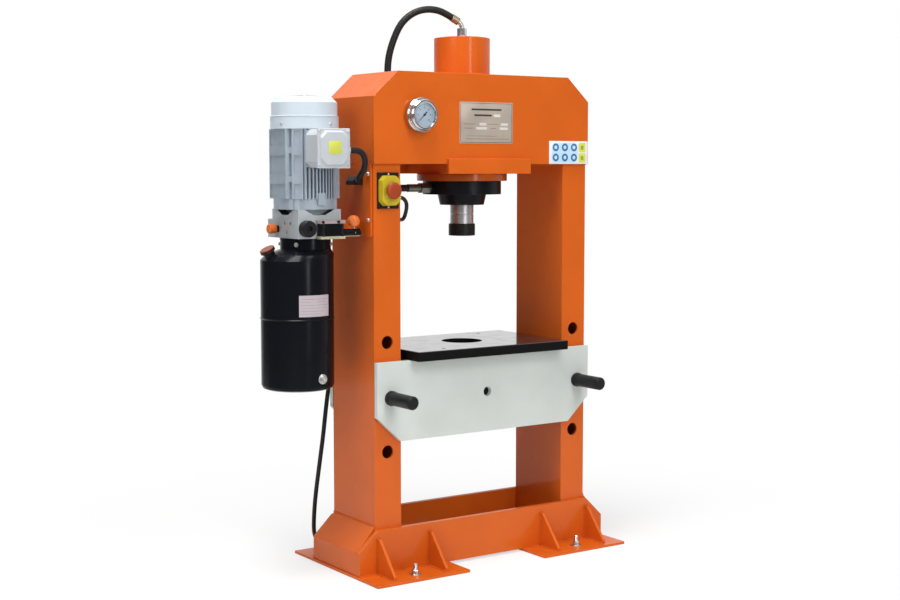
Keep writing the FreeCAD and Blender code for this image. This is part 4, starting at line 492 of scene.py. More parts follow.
def take(*pieces):
    """Picks up pieces, the first as the one to work on."""
    put_down()
    for piece in pieces:
        piece.select_set(True)
    bpy.context.view_layer.objects.active = pieces[0]


def turned_to(facing):
    """Turn that brings the upright axis round to facing."""
    return facing.to_track_quat("Z", "Y").to_euler()


def started(name):
    """Names the new blank and puts its place into its mesh."""
    piece = bpy.context.active_object
    piece.name = name
    piece.data.name = name
    bpy.ops.object.transform_apply(location=True, rotation=True, scale=True)
    return piece


def round_blank(name, place, facing, radius, sides):
    """Flat disc that faces a way, with its radius in mm."""
    put_down()
    bpy.ops.mesh.primitive_circle_add(
        vertices=sides, radius=radius / 1000, fill_type="NGON", location=place,
        rotation=turned_to(facing),
    )
    return started(name)


def block_blank(name, low, high):
    """Block between two corners."""
    put_down()
    bpy.ops.mesh.primitive_cube_add(
        size=1, location=[(a + b) / 2 for a, b in zip(low, high)],
        scale=[b - a for a, b in zip(low, high)],
    )
    return started(name)


def pick(piece, kind, wanted=None):
    """Selects the faces or edges that wanted says, or all, and stays in edit mode."""
    take(piece)
    bpy.ops.object.mode_set(mode="EDIT")
    bpy.context.tool_settings.mesh_select_mode = (False, kind == "edges", kind == "faces")
    mesh = bmesh.from_edit_mesh(piece.data)
    for part in (mesh.verts, mesh.edges, mesh.faces):
        for one in part:
            one.select = False
    for one in getattr(mesh, kind):
        if wanted is None or wanted(one):
            one.select_set(True)
    bmesh.update_edit_mesh(piece.data)


def close_up():
    """Merges doubles, points every face outwards and leaves edit mode."""
    bpy.ops.mesh.select_all(action="SELECT")
    bpy.ops.mesh.remove_doubles(threshold=0.000002)
    bpy.ops.mesh.normals_make_consistent(inside=False)
    bpy.ops.object.mode_set(mode="OBJECT")


def draw_up(piece, place, facing, profile):
    """Draws a flat blank up through (radius, height) steps, given in mm, as on a lathe."""
    place = Vector(place)
    pick(piece, "faces")
    for (wide, high), (next_wide, next_high) in zip(profile, profile[1:]):
        bpy.ops.mesh.extrude_region_move(
            TRANSFORM_OT_translate={"value": facing * (next_high - high) / 1000}
        )
        bpy.ops.transform.resize(
            value=(next_wide / wide,) * 3, center_override=place + facing * next_high / 1000
        )
    close_up()
    return piece


def turned_piece(name, place, facing, profile, sides=32):
    """Round or many-sided piece from its (radius, height) steps in mm."""
    radius, height = profile[0]
    blank = round_blank(name, place, facing, radius, sides)
    blank.data.transform(Matrix.Translation(facing * height / 1000))
    return draw_up(blank, place, facing, profile)


def worked(piece, name, kind, **settings):
    """Adds a modifier to a piece and works it into the mesh."""
    take(piece)
    modified(piece, name, kind, **settings)
    bpy.ops.object.modifier_apply(modifier=name)
    return piece


def eased(piece, width, segments, angle):
    """Rounds the piece's edges that are sharper than angle."""
    return worked(
        piece, "edge", "BEVEL", width=width, segments=segments, limit_method="ANGLE",
        angle_limit=math.radians(angle),
    )


def joined(name, pieces):
    """Makes one piece of several."""
    take(*pieces)
    if len(pieces) > 1:
        bpy.ops.object.join()
    piece = bpy.context.active_object
    piece.name = name
    piece.data.name = name
    return piece


def fitted(piece, finish, smooth=SHARP_DEGREES):
    """Gives a finished piece its finish, its shading and its place on the press."""
    take(piece)
    bpy.ops.object.shade_smooth_by_angle(angle=math.radians(smooth))
    wear_finish(piece, finish)
    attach(piece, "frame")


def copied(piece, name, shift):
    """Copy of a piece, with a mesh of its own, moved by shift."""
    twin = piece.copy()
    twin.data = piece.data.copy()
    twin.name = name
    twin.data.name = name
    bpy.context.scene.collection.objects.link(twin)
    twin.data.transform(Matrix.Translation(Vector(shift)))
    return twin


def rounded_plate(name, low, high, corner, edge=0):
    """Upright plate that faces the front. Corner and edge are its roundings, in mm."""
    plate = block_blank(name, low, high)

    def runs_through(one):
        run = one.verts[1].co - one.verts[0].co
        return abs(run.x) < 1e-6 and abs(run.z) < 1e-6

    pick(plate, "edges", runs_through)
    bpy.ops.mesh.bevel(offset=corner / 1000, segments=5, affect="EDGES")
    close_up()
    return eased(plate, edge / 1000, 2, 50) if edge else plate


# ---------------- plates and labels


# All sizes here are in mm. Outlines of plates and bars are x0, x1, z0, z1, and each lies on the
# face whose y is given and stands out from it to the front.
CROWN_FACE = -135.0
LID_FACE = -185.0
NAMEPLATE = (-103.0, 103.0, 1332.0, 1462.0)
NAMEPLATE_THICK = 1.2
NAMEPLATE_HEADING = ((-58, 58, 1436, 1441.5), (-47, 20, 1418, 1423.5))
NAMEPLATE_LINES = (
    (-89, -44, 1392, 1394), (6, 45, 1392, 1394), (-86, -50, 1379, 1381), (14, 38, 1379, 1381),
    (-78, 89, 1346, 1347.6), (-78, 40, 1355, 1356.4),
)
NAMEPLATE_FIELDS = (
    (28, 54, 1416, 1425), (-28, -2, 1389, 1397), (56, 84, 1389, 1397), (-40, 1, 1376, 1384),
    (52, 84, 1376, 1384),
)
NOTICE = (252.0, 413.4, 1268.6, 1343.0)
NOTICE_THICK = 0.8
NOTICE_GROUND = (263, 371, 1273, 1338)
NOTICE_LAYER = 0.12
NOTICE_DISCS = [(x, z) for x in (279.5, 317.5, 355.5) for z in (1289.5, 1322.5)]
NOTICE_DISC_THICK = 0.15
NOTICE_SQUARES = ((376, 404, 1307, 1338), (376, 404, 1273, 1304))
BOX_PLATE = (-601, -558, 1296, 1334)
TANK_X = -609.0
TANK_SKIN = 111.05          # just outside the tank's wall
TANK_LABEL_THICK = 0.25
# The tank's label and its bars: first and last angle round the tank, then the two heights.
TANK_LABEL = (-115.5, -62.5, 814, 878)
TANK_LABEL_ROWS = (
    (-113, -91, 866, 867.5), (-113, -96, 858, 859.2), (-88, -66, 866, 867.2),
    (-88, -70, 858, 859.2), (-113, -91, 848, 849.2), (-88, -66, 848, 849.2),
    (-113, -65, 839, 840), (-113, -74, 830, 831.2), (-113, -80, 822, 823),
)


def front_plate(name, outline, face, thick, corner, edge, finish):
    """Thin plate on a face that looks to the front."""
    x0, x1, z0, z1 = outline
    low, high = mm(x0, face - thick, z0), mm(x1, face, z1)
    fitted(rounded_plate(name, low, high, corner, edge), finish)


def front_bars(name, outlines, face, rise, finish, corner=None):
    """Bars on a plate, as one piece; their corners are a quarter of their width, or as given."""
    bars = []
    for number, (x0, x1, z0, z1) in enumerate(outlines):
        low, high = mm(x0, face - rise, z0), mm(x1, face, z1)
        bend = corner or min(x1 - x0, z1 - z0) / 4
        bars.append(rounded_plate("%s_%d" % (name, number), low, high, bend))
    fitted(joined(name, bars), finish)


def front_discs(name, places, face, rise, radius, sides, finish):
    """Thin discs on a plate, as one piece."""
    discs = []
    for x, z in places:
        place = mm(x, face, z)
        blank = round_blank("disc", place, FRONT, radius, sides)
        discs.append(draw_up(blank, place, FRONT, [(radius, 0), (radius - 0.2, rise)]))
    fitted(joined(name, discs), finish)


def make_nameplate():
    """Plain rating plate: a thin border, and bars where the lines of print would be."""
    front_plate(
        "nameplate", NAMEPLATE, CROWN_FACE, NAMEPLATE_THICK, 3.0, 0.5, plate_alloy
    )
    face = CROWN_FACE - NAMEPLATE_THICK
    x0, x1, z0, z1 = NAMEPLATE
    left, right, low, high = x0 + 3, x1 - 3, z0 + 3.2, z1 - 3.2
    rule = 1.2
    border = (
        (left, right, high - rule, high), (left, right, low, low + rule),
        (left, left + rule, low + rule, high - rule),
        (right - rule, right, low + rule, high - rule),
    )
    front_bars("nameplate_border", border, face, 0.25, plate_ink)
    front_bars("nameplate_heading", NAMEPLATE_HEADING, face, 0.2, plate_ink)
    front_bars("nameplate_lines", NAMEPLATE_LINES, face, 0.2, plate_faint_ink)
    front_bars("nameplate_fields", NAMEPLATE_FIELDS, face, 0.15, plate_field)


def make_notice():
    """White notice with plain discs on a pale ground and plain squares beside them."""
    front_plate(
        "notice_plate", NOTICE, CROWN_FACE, NOTICE_THICK, 2.0, 0.25, label_white
    )
    face = CROWN_FACE - NOTICE_THICK
    ground = face - NOTICE_LAYER
    front_bars("notice_ground", (NOTICE_GROUND,), face, NOTICE_LAYER, label_sky)
    front_discs("notice_discs", NOTICE_DISCS, ground, NOTICE_DISC_THICK, 12.8, 40, label_blue)
    front_discs("notice_spots", NOTICE_DISCS, ground - NOTICE_DISC_THICK, 0.1, 6.2, 24, label_sky)
    front_bars(
        "notice_squares", NOTICE_SQUARES, face, NOTICE_LAYER, label_lemon, 4.0
    )
    cores = [(x0 + 8, x1 - 8, z0 + 8, z1 - 9) for x0, x1, z0, z1 in NOTICE_SQUARES]
    front_bars("notice_cores", cores, ground, 0.1, label_olive, 4.0)


def tank_strip(name, radius, first, last, low, high, thick):
    """Strip that lies round the tank between two angles, in degrees, and two heights."""
    put_down()
    bpy.ops.mesh.primitive_cylinder_add(
        vertices=180, radius=radius / 1000, depth=(high - low) / 1000, end_fill_type="NOTHING",
        location=mm(TANK_X, 0, (high + low) / 2),
    )
    strip = started(name)

    def outside(one):
        middle = one.calc_center_median() - Vector(mm(TANK_X, 0, 0))
        angle = math.degrees(math.atan2(middle.y, middle.x))
        return not first <= angle <= last

    pick(strip, "faces", outside)
    bpy.ops.mesh.delete(type="FACE")
    close_up()
    return worked(strip, "thick", "SOLIDIFY", thickness=thick / 1000, offset=1)


def make_tank_label():
    """Pale label on the tank, with faint bars in two columns."""
    label = tank_strip("tank_label", TANK_SKIN, *TANK_LABEL, TANK_LABEL_THICK)
    fitted(label, label_blush)
    rows = [
        tank_strip("row_%d" % number, TANK_SKIN + TANK_LABEL_THICK, *row, 0.1)
        for number, row in enumerate(TANK_LABEL_ROWS)
    ]
    fitted(joined("tank_label_rows", rows), label_grey)


def make_box_plate():
    """Small plain yellow plate on the terminal box's lid."""
    front_plate("box_plate", BOX_PLATE, LID_FACE, 0.6, 5.0, 0.2, label_lemon)


# ---------------- gauge


GAUGE = (-255.0, -165.0, 1417.0)        # middle of the dial, in mm
DIAL_RADIUS = 36.7
MARK_END = 32.5                         # outer radius of the scale's marks
# Marks of the scale: inner radius and width.
PLAIN_MARK, HALF_MARK, FIGURE_MARK = (30.0, 0.45), (28.0, 0.45), (26.0, 0.9)
FIGURE_RADIUS = 21.5
FIGURE_SIZE = 0.0068
SCALE_START = 225.0
SCALE_SWEEP = 270.0
SCALE_STEPS = 60
STEPS_A_HALF_MARK = 5
STEPS_A_FIGURE = 10


def scale_angle(step):
    """Angle of one step of the scale, which runs clockwise from the lower left."""
    return SCALE_START - SCALE_SWEEP * step / SCALE_STEPS


def on_dial(radius, angle, lift):
    """Point of the dial's face at a radius and angle, lifted towards the glass."""
    turn = math.radians(angle)
    return Vector(mm(
        GAUGE[0] + radius * math.cos(turn), GAUGE[1] - lift, GAUGE[2] + radius * math.sin(turn)
    ))


def dial_mark(inner, width, angle):
    """One mark of the scale, as a thin raised bar."""
    low, high = mm(inner, -0.15, -width / 2), mm(MARK_END, 0, width / 2)
    bar = rounded_plate("mark", low, high, width / 5)
    turn = Matrix.Rotation(-math.radians(angle), 4, "Y")
    bar.data.transform(Matrix.Translation(on_dial(0, 0, 0.4)) @ turn)
    return bar


def dial_figure(number, angle):
    """One figure of the scale, as thin raised print."""
    put_down()
    bpy.ops.object.text_add()
    text = bpy.context.active_object.data
    text.body = str(number)
    text.size = FIGURE_SIZE
    text.extrude = 0.00008
    text.align_x = "CENTER"
    text.align_y = "CENTER"
    text.resolution_u = 4
    bpy.ops.object.convert(target="MESH")
    figure = bpy.context.active_object
    figure.location = on_dial(FIGURE_RADIUS, angle, 0.5)
    figure.rotation_euler = (math.radians(90), 0, 0)
    return started("figure_%d" % number)


def make_dial():
    """Pale dial with its scale and figures."""
    disc = round_blank("gauge_dial", mm(*GAUGE), FRONT, DIAL_RADIUS, 72)
    edge = [(DIAL_RADIUS, 0), (DIAL_RADIUS, 0.25), (DIAL_RADIUS - 0.3, 0.4)]
    draw_up(disc, mm(*GAUGE), FRONT, edge)
    fitted(disc, dial_enamel)
    marks = []
    for step in range(SCALE_STEPS + 1):
        mark = PLAIN_MARK
        if step % STEPS_A_FIGURE == 0:
            mark = FIGURE_MARK
        elif step % STEPS_A_HALF_MARK == 0:
            mark = HALF_MARK
        marks.append(dial_mark(*mark, scale_angle(step)))
    fitted(joined("gauge_scale", marks), plate_ink)
    figures = [
        dial_figure(step, scale_angle(step)) for step in range(0, SCALE_STEPS + 1, STEPS_A_FIGURE)
    ]
    fitted(joined("gauge_figures", figures), plate_ink)


# ---------------- fasteners


# Places on the press and sizes of fasteners, in mm.
ANCHOR_X, ANCHOR_Y, FOOT_TOP = 318, 208, 8
ANCHOR_WASHER_THICK = 3
ANCHOR_STUD_TOP = 34
THREAD_PITCH = 2
WASHER_THICK = 1.6
MOTOR_X = -579
BRACKET_FACE = -419
BRACKET_SCREWS = ((-105, 1237), (-105, 1098), (105, 1237), (105, 1098))
SHIELD_SCREW_CIRCLE, SHIELD_FACE = 86, 1164
VALVE_FACE = -112
VALVE_SCREWS = ((-581, 1095), (-528, 1095))
VALVE_TIES = ((-578, -107, 1051), (-513, -107, 1051))
VALVE_TIE_SHAPE = ((5.5, 0), (5.5, 12), (4.0, 12.5), (4.0, 27), (5.5, 27.5), (5.5, 39))
LID_SCREW_FACE, LID_MIDDLE = -177, 1313
LID_SCREWS = ((-47.84, -50), (47.84, -50), (-47.84, 50), (47.84, 50))
COWL_SCREW_RADIUS, COWL_SCREW_Z = 102.8, 1386
STOP_X, STOP_PLATE_FACE = -362, -129
STOP_SCREWS = (1237, 1137)
DRAIN = (-584, -107.5, 624)
NECK_SCREW_RADIUS, NECK_SCREW_Z = 76.8, 1026
NECK_SCREW_ANGLES = (-140, -40, 40, 140)


def hexagon_radius(flats):
    return flats / math.sqrt(3)


def hex_screw(name, place, facing, flats, thick, washer):
    """Hexagon head with its chamfered crown, on a washer."""
    reach, rim = hexagon_radius(flats), washer / 2
    head = turned_piece(
        name, Vector(place) + facing * WASHER_THICK / 1000, facing,
        [(reach, 0), (reach, thick * 0.86), (reach * 0.88, thick), (reach * 0.6, thick - 0.3)], 6,
    )
    ring = turned_piece(
        name + "_washer", place, facing,
        [(rim, 0), (rim, WASHER_THICK - 0.3), (rim - 0.4, WASHER_THICK)],
    )
    return eased(joined(name, [head, ring]), 0.0003, 2, 25)


def socket_screw(name, place, facing, head, thick):
    """Cap screw with the recess for its key."""
    radius = head / 2
    return eased(turned_piece(name, place, facing, [
        (radius, 0), (radius, thick - 0.6), (radius - 0.6, thick), (radius * 0.6, thick),
        (radius * 0.56, thick * 0.45),
    ], 24), 0.00025, 1, 35)


def dome_screw(name, place, facing, head, thick):
    """Round-headed screw with a small recess."""
    radius = head / 2
    return turned_piece(name, place, facing, [
        (radius, 0), (radius * 0.97, thick * 0.35), (radius * 0.8, thick * 0.75),
        (radius * 0.5, thick * 0.97), (radius * 0.28, thick), (radius * 0.22, thick * 0.6),
    ], 24)


def fit_zinc(piece):
    """Fits a zinc-plated screw, bolt or plug."""
    fitted(piece, zinc_steel)


def fit_screws(make, name, places, **sizes):
    """Fits zinc-plated screws of one kind. Each place comes with the way that its screw faces."""
    for number, (place, facing) in enumerate(places):
        fit_zinc(make("%s_%d" % (name, number), place, facing, **sizes))


def round_motor(radius, angle, height):
    """Place on a circle round the motor's axis, and the way out from the axis there."""
    turn = math.radians(angle)
    out = Vector((math.cos(turn), math.sin(turn), 0))
    return Vector(mm(MOTOR_X, 0, height)) + out * radius / 1000, out


def make_anchor_bolts():
    """Anchor bolts through the feet: large washer, nut and threaded end."""
    place = Vector(mm(-ANCHOR_X, -ANCHOR_Y, FOOT_TOP))
    washer = turned_piece("washer", place, UP, [
        (18, 0), (18, 2.4), (17.4, ANCHOR_WASHER_THICK), (7.4, ANCHOR_WASHER_THICK), (7.4, 2.6),
    ], 40)
    reach = hexagon_radius(22)
    nut = turned_piece("nut", place + UP * ANCHOR_WASHER_THICK / 1000, UP, [
        (reach * 0.92, 0), (reach, 0.9), (reach, 11.6), (reach * 0.9, 12.8), (7.6, 12.8), (7.2, 12),
    ], 6)
    thread = [(6.4, THREAD_PITCH)]
    for height in range(THREAD_PITCH, ANCHOR_STUD_TOP, THREAD_PITCH):
        thread += [(7.0, height + 0.9), (6.2, height + 1.9)]
    thread.append((5.4, ANCHOR_STUD_TOP + 1.2))
    stud = turned_piece("stud", place, UP, thread, 20)
    bolt = joined("anchor_bolt_1", [nut, washer, stud])
    fit_zinc(eased(bolt, 0.0003, 1, 50))
    shifts = ((2 * ANCHOR_X, 0), (0, 2 * ANCHOR_Y), (2 * ANCHOR_X, 2 * ANCHOR_Y))
    for number, shift in enumerate(shifts, start=2):
        twin = copied(bolt, "anchor_bolt_%d" % number, mm(*shift, 0))
        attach(twin, "frame")


def make_screws():
    """Screws of the power pack's bracket, motor, lever valve, lid and cowl, and of the stop."""
    bracket = [(mm(BRACKET_FACE, y, z), LEFT) for y, z in BRACKET_SCREWS]
    fit_screws(dome_screw, "bracket_screw", bracket, head=14, thick=6)
    shield = [(round_motor(SHIELD_SCREW_CIRCLE, 45 + 90 * k, SHIELD_FACE)[0], UP) for k in range(4)]
    fit_screws(hex_screw, "shield_screw", shield, flats=10, thick=6.4, washer=18)
    for number, (x, z) in enumerate(VALVE_SCREWS):
        place = mm(x, VALVE_FACE, z)
        screw = socket_screw("valve_screw_%d" % number, place, FRONT, head=9, thick=4)
        fitted(screw, black_steel)
    for number, place in enumerate(VALVE_TIES):
        rod = turned_piece("valve_tie_%d" % number, mm(*place), UP, VALVE_TIE_SHAPE, 20)
        fitted(rod, black_steel)
    lid = [(mm(MOTOR_X + dx, LID_SCREW_FACE, LID_MIDDLE + dz), FRONT) for dx, dz in LID_SCREWS]
    fit_screws(dome_screw, "lid_screw", lid, head=7, thick=2.6)
    cowl = [round_motor(COWL_SCREW_RADIUS, 20 + 90 * k, COWL_SCREW_Z) for k in range(4)]
    fit_screws(dome_screw, "cowl_screw", cowl, head=9, thick=3)
    stop = [(mm(STOP_X, STOP_PLATE_FACE, z), FRONT) for z in STOP_SCREWS]
    fit_screws(dome_screw, "stop_screw", stop, head=8, thick=3)


def make_tank_fittings():
    """Drain plug, and the screws that clamp the tank's neck to the valve block."""
    drain = turned_piece("drain_plug", mm(*DRAIN), FRONT, [
        (15, 0), (15, 3), (13, 4), (12, 4), (12, 8), (10.8, 9.4), (5.2, 9.4), (4.6, 6.4),
    ])
    fit_zinc(eased(drain, 0.0004, 2, 40))
    neck = [round_motor(NECK_SCREW_RADIUS, angle, NECK_SCREW_Z) for angle in NECK_SCREW_ANGLES]
    fit_screws(hex_screw, "neck_screw", neck, flats=8, thick=4.6, washer=14)


# ---------------- welds


# Lines that the welds follow, in mm.
GUSSETS_FROM = (216, 406)       # inner face of each pair of gussets
GUSSET_THICK = 10
GUSSET_SEAM = 143.5             # up the base's front and back
GUSSET_LOW, GUSSET_HIGH = 12, 112
GUSSET_FROM, GUSSET_TO = 148, 236
GUSSET_TIP, GUSSET_TOP = 149, 118
FOOT_SEAM = 8.5                 # on the foot plates
BASE_SEAM = 143.2               # along the foot of the base's front and back
BASE_FROM, BASE_TO = 148, 478
BASE_TOP_SEAM = 144.5
COVER_TOP_SEAM = 155
COLUMN_FROM, COLUMN_TO = 318, 412
COLUMN_SEAM = 125.5             # along the front and back of a column
INNER_SEAM, OUTER_SEAM = 316.5, 413.5
CROWN_SEAM = 1267.5
SEAT_SEAM = 135.5               # on the crown's front and back
SEAT_LOW, SEAT_HIGH = 1269, 1284.5
BEAD_SHAPE = (1, 1, 0.75)
BEAD_STEP = 0.55                # from bead to bead, for each mm of the weld's width


def weld_bead(name, place, along, width):
    """Flattened bead, square to the way the weld runs."""
    put_down()
    bpy.ops.mesh.primitive_uv_sphere_add(
        segments=8, ring_count=6, radius=width / 2000, location=place, rotation=turned_to(along),
        scale=BEAD_SHAPE,
    )
    return started(name)


def weld_run(start, end, width):
    """Run of weld: overlapping beads in a line."""
    start, end = Vector(mm(*start)), Vector(mm(*end))
    along = end - start
    count = max(2, round(along.length / (width * BEAD_STEP / 1000)))
    return worked(
        weld_bead("run", start, along, width), "run", "ARRAY", count=count,
        use_relative_offset=False, use_constant_offset=True,
        constant_offset_displace=along / (count - 1),
    )


def weld_ring(name, height, radius, width):
    """Weld round the foot of an upright tube on the press's middle."""
    place = Vector(mm(0, 0, height))
    bead = weld_bead(name, place + RIGHT * radius / 1000, BACK, width)
    pick(bead, "faces")
    count = round(2 * math.pi * radius / (width * BEAD_STEP))
    bpy.ops.mesh.spin(
        steps=count, dupli=True, angle=2 * math.pi, center=place, axis=UP, use_auto_merge=False
    )
    bpy.ops.object.mode_set(mode="OBJECT")
    fitted(bead, weld_orange, smooth=80)


def weld_set(name, runs):
    """Fits several runs of weld as one piece. Each is its start, its end and its width."""
    beads = [weld_run(*run) for run in runs]
    fitted(joined(name, beads), weld_orange, smooth=80)


def gusset_welds(side):
    """Runs up, along the foot and over the top of the gussets on one side of the press."""
    runs = []
    for inner in GUSSETS_FROM:
        outer = inner + GUSSET_THICK
        for x in (side * inner, side * outer):
            for y in (-1, 1):
                seam, near, far = y * GUSSET_SEAM, y * GUSSET_FROM, y * GUSSET_TO
                runs.append(((x, seam, GUSSET_LOW), (x, seam, GUSSET_HIGH), 7))
                runs.append(((x, near, FOOT_SEAM), (x, far, FOOT_SEAM), 7))
        for y in (-GUSSET_TIP, GUSSET_TIP):
            runs.append(((side * inner, y, GUSSET_TOP), (side * outer, y, GUSSET_TOP), 8))
    return runs


def lengthwise(side, first, last, y, z):
    """Runs on the front and the back, from first to last on one side of the press."""
    return [((side * first, y * way, z), (side * last, y * way, z), 6) for way in (-1, 1)]


def crosswise(side, x, reach, z):
    """Run from front to back on one side of the press."""
    return [((side * x, -reach, z), (side * x, reach, z), 6)]


def make_welds():
    """Welds of the gussets, base, columns, crown and barrel."""
    for side, name in ((-1, "left"), (1, "right")):
        weld_set("gusset_welds_" + name, gusset_welds(side))
        weld_set(
            "base_welds_" + name,
            lengthwise(side, BASE_FROM, BASE_TO, BASE_SEAM, FOOT_SEAM)
            + lengthwise(side, COLUMN_FROM, COLUMN_TO, COLUMN_SEAM, BASE_TOP_SEAM)
            + crosswise(side, OUTER_SEAM, 124, COVER_TOP_SEAM),
        )
        weld_set(
            "crown_welds_" + name,
            crosswise(side, OUTER_SEAM, 124, CROWN_SEAM)
            + crosswise(side, INNER_SEAM, 120, CROWN_SEAM)
            + lengthwise(side, COLUMN_FROM, COLUMN_TO, COLUMN_SEAM, CROWN_SEAM),
        )
    weld_set("seat_welds", [
        ((-148, -SEAT_SEAM, SEAT_HIGH), (168, -SEAT_SEAM, SEAT_HIGH), 5),
        ((-149.5, -SEAT_SEAM, SEAT_LOW), (-149.5, -SEAT_SEAM, 1284), 5),
        ((169.5, -SEAT_SEAM, SEAT_LOW), (169.5, -SEAT_SEAM, 1284), 5),
        ((-316, SEAT_SEAM, SEAT_HIGH), (316, SEAT_SEAM, SEAT_HIGH), 5),
    ])
    weld_ring("barrel_weld", height=1551, radius=91, width=8)
    weld_ring("head_cap_weld", height=1670, radius=71.5, width=5)


# ---------------- cord fittings


TIE_ANGLES = (20, 200)
TIE_REACH = 0.064           # from the coil's middle to the middle of its loops
TIE_RADIUS = 0.0335
TIE_WIDTH, TIE_THICK = 0.016, 0.0012
TIE_FLATNESS = 0.43
TIE_HEIGHT = 0.015


def make_coil_ties():
    """Two straps that hold the put-away coil together."""
    for number, angle in enumerate(TIE_ANGLES, start=1):
        turn = math.radians(angle)
        out = Vector((math.cos(turn), math.sin(turn), 0))
        along = Vector((-out.y, out.x, 0))
        put_down()
        bpy.ops.mesh.primitive_cylinder_add(
            vertices=28, radius=TIE_RADIUS, depth=TIE_WIDTH, end_fill_type="NOTHING",
            location=(0, 0, 0), scale=(1, TIE_FLATNESS, 1),
        )
        strap = started("coil_tie_%d" % number)
        lie = Matrix((out, UP, along)).transposed().to_4x4()
        middle = Vector((*COIL_CENTRE, TIE_HEIGHT)) + out * TIE_REACH
        strap.data.transform(Matrix.Translation(middle) @ lie)
        pick(strap, "faces")
        close_up()
        worked(strap, "thick", "SOLIDIFY", thickness=TIE_THICK, offset=-1)
        fitted(strap, black_plastic)


make_nameplate()
make_notice()
make_tank_label()
make_box_plate()
make_dial()
make_anchor_bolts()
make_screws()
make_tank_fittings()
make_welds()
make_coil_ties()


# ---------------- stage


WHITE = (1, 1, 1, 1)
FLOOR_GREY = (0.86, 0.86, 0.86, 1)
ROOM_LIGHT = 0.3                    # how strongly the room lights the press
LIT_WALL = (0.8, 0.6, 0.5)          # way to the wall that shiny faces mirror as white
FLOOR_SIZE, FLOOR_LEVEL = 7, -0.0005

# Each lamp: where it stands, what it faces, its width, its height and its watts.
LAMPS = {
    "front_lamp": ((0.3, -4.7, 4.7), (0, 0, 0.9), 2.0, 2.0, 102),
    "strip_lamp": ((0.0, -5.4, 1.75), (0, 0, 1.2), 0.8, 2.8, 52),
    "top_lamp": ((-1.4, -0.8, 6.0), (0, 0, 1.2), 2.4, 2.4, 300),
    "left_lamp": ((-3.9, -1.3, 2.7), (-0.4, 0, 0.2), 1.6, 1.6, 32),
}

# Where the photograph was taken from.
CAMERA_PLACE = (-2.8135, -4.0379, 1.2590)
CAMERA_DOWN, CAMERA_RIGHT = 5.03, 34.42
CAMERA_LENS = 60.51


def mixed(tree, share, first, second):
    """Shader that goes from first to second with share."""
    made = tree.nodes.new("ShaderNodeMixShader")
    tree.links.new(share, made.inputs["Fac"])
    tree.links.new(first, made.inputs[1])
    tree.links.new(second, made.inputs[2])
    return made.outputs[0]


def eased_range(tree, value, **limits):
    """Value taken smoothly from one range into another."""
    made = added(tree, "ShaderNodeMapRange", **limits)
    made.interpolation_type = "SMOOTHSTEP"
    tree.links.new(value, made.inputs["Value"])
    return made.outputs["Result"]


def white_backdrop(tree, seen, mirrored, lit):
    """Keeps apart what the camera and glass see, what shiny faces mirror and what gives light."""
    path = tree.nodes.new("ShaderNodeLightPath")
    clear = tree.nodes.new("ShaderNodeMath")
    clear.operation = "MAXIMUM"
    tree.links.new(path.outputs["Is Camera Ray"], clear.inputs[0])
    tree.links.new(path.outputs["Is Transmission Ray"], clear.inputs[1])
    polished = mixed(tree, path.outputs["Is Glossy Ray"], lit, mirrored)
    return mixed(tree, clear.outputs[0], polished, seen)


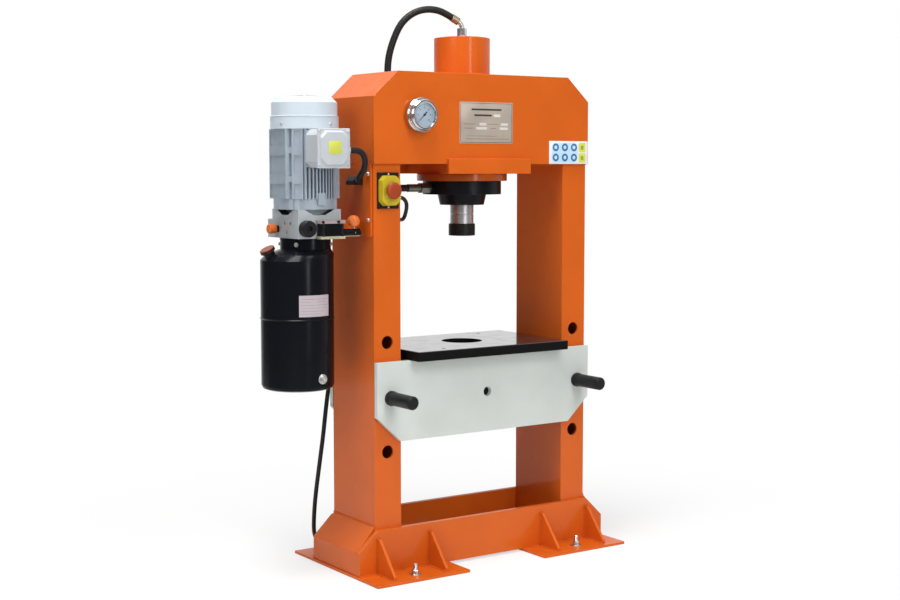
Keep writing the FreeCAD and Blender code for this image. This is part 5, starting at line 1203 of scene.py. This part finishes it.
def make_world():
    """White room behind the press; the side the lamps stand on is dark, as in a studio."""
    world = bpy.data.worlds.new("studio")
    bpy.context.scene.world = world
    world.use_nodes = True
    tree = world.node_tree
    lit = tree.nodes["Background"]
    set_inputs(lit, Color=WHITE, Strength=ROOM_LIGHT)
    seen = added(tree, "ShaderNodeBackground", Color=WHITE, Strength=1.0)
    along = tree.nodes.new("ShaderNodeVectorMath")
    along.operation = "DOT_PRODUCT"
    along.inputs[1].default_value = LIT_WALL
    way = tree.nodes.new("ShaderNodeTexCoord")
    tree.links.new(way.outputs["Generated"], along.inputs[0])
    wall = eased_range(
        tree, along.outputs["Value"], From_Min=0.05, From_Max=0.75, To_Min=0.12, To_Max=1.0
    )
    mirrored = added(tree, "ShaderNodeBackground", Color=WHITE)
    tree.links.new(wall, mirrored.inputs["Strength"])
    backdrop = white_backdrop(tree, seen.outputs[0], mirrored.outputs[0], lit.outputs[0])
    tree.links.new(backdrop, tree.nodes["World Output"].inputs["Surface"])


def make_floor():
    """Plain pale floor that keeps the press's shadow and fades into the backdrop."""
    bpy.ops.mesh.primitive_plane_add(size=FLOOR_SIZE, location=(0, 0, FLOOR_LEVEL))
    floor = bpy.context.active_object
    floor.name = "studio_floor"
    finish, tree, shader, place = new_finish("floor_white")
    tree.nodes.remove(shader)
    plain = added(tree, "ShaderNodeBsdfDiffuse", Color=FLOOR_GREY)
    white = added(tree, "ShaderNodeEmission", Strength=1.0)
    far = tree.nodes.new("ShaderNodeVectorMath")
    far.operation = "LENGTH"
    tree.links.new(place, far.inputs[0])
    fade = eased_range(
        tree, far.outputs["Value"], From_Min=0.5, From_Max=1.8, To_Min=0.6, To_Max=1.0
    )
    part = mixed(tree, fade, plain.outputs[0], white.outputs[0])
    backdrop = white_backdrop(tree, part, part, plain.outputs[0])
    tree.links.new(backdrop, tree.nodes["Material Output"].inputs["Surface"])
    floor.data.materials.append(finish)


def soft_lamp(name, place, target, width, height, watts):
    """Large soft lamp that faces target."""
    lamp = bpy.data.lights.new(name, "AREA")
    lamp.shape = "RECTANGLE"
    lamp.size = width
    lamp.size_y = height
    lamp.energy = watts
    holder = brought_in(name, lamp)
    holder.location = place
    facing = Vector(target) - Vector(place)
    holder.rotation_euler = facing.to_track_quat("-Z", "Y").to_euler()


def make_camera():
    """Camera that sees the press as the photograph does."""
    lens = bpy.data.cameras.new("photo_camera")
    lens.sensor_width = 36.0
    lens.lens = CAMERA_LENS
    camera = brought_in("photo_camera", lens)
    camera.location = CAMERA_PLACE
    camera.rotation_euler = (math.radians(90 - CAMERA_DOWN), 0, math.radians(-CAMERA_RIGHT))
    bpy.context.scene.camera = camera


make_world()
make_floor()
for name, settings in LAMPS.items():
    soft_lamp(name, *settings)
make_camera()

bpy.context.scene.view_settings.view_transform = "Standard"
bpy.context.view_layer.update()
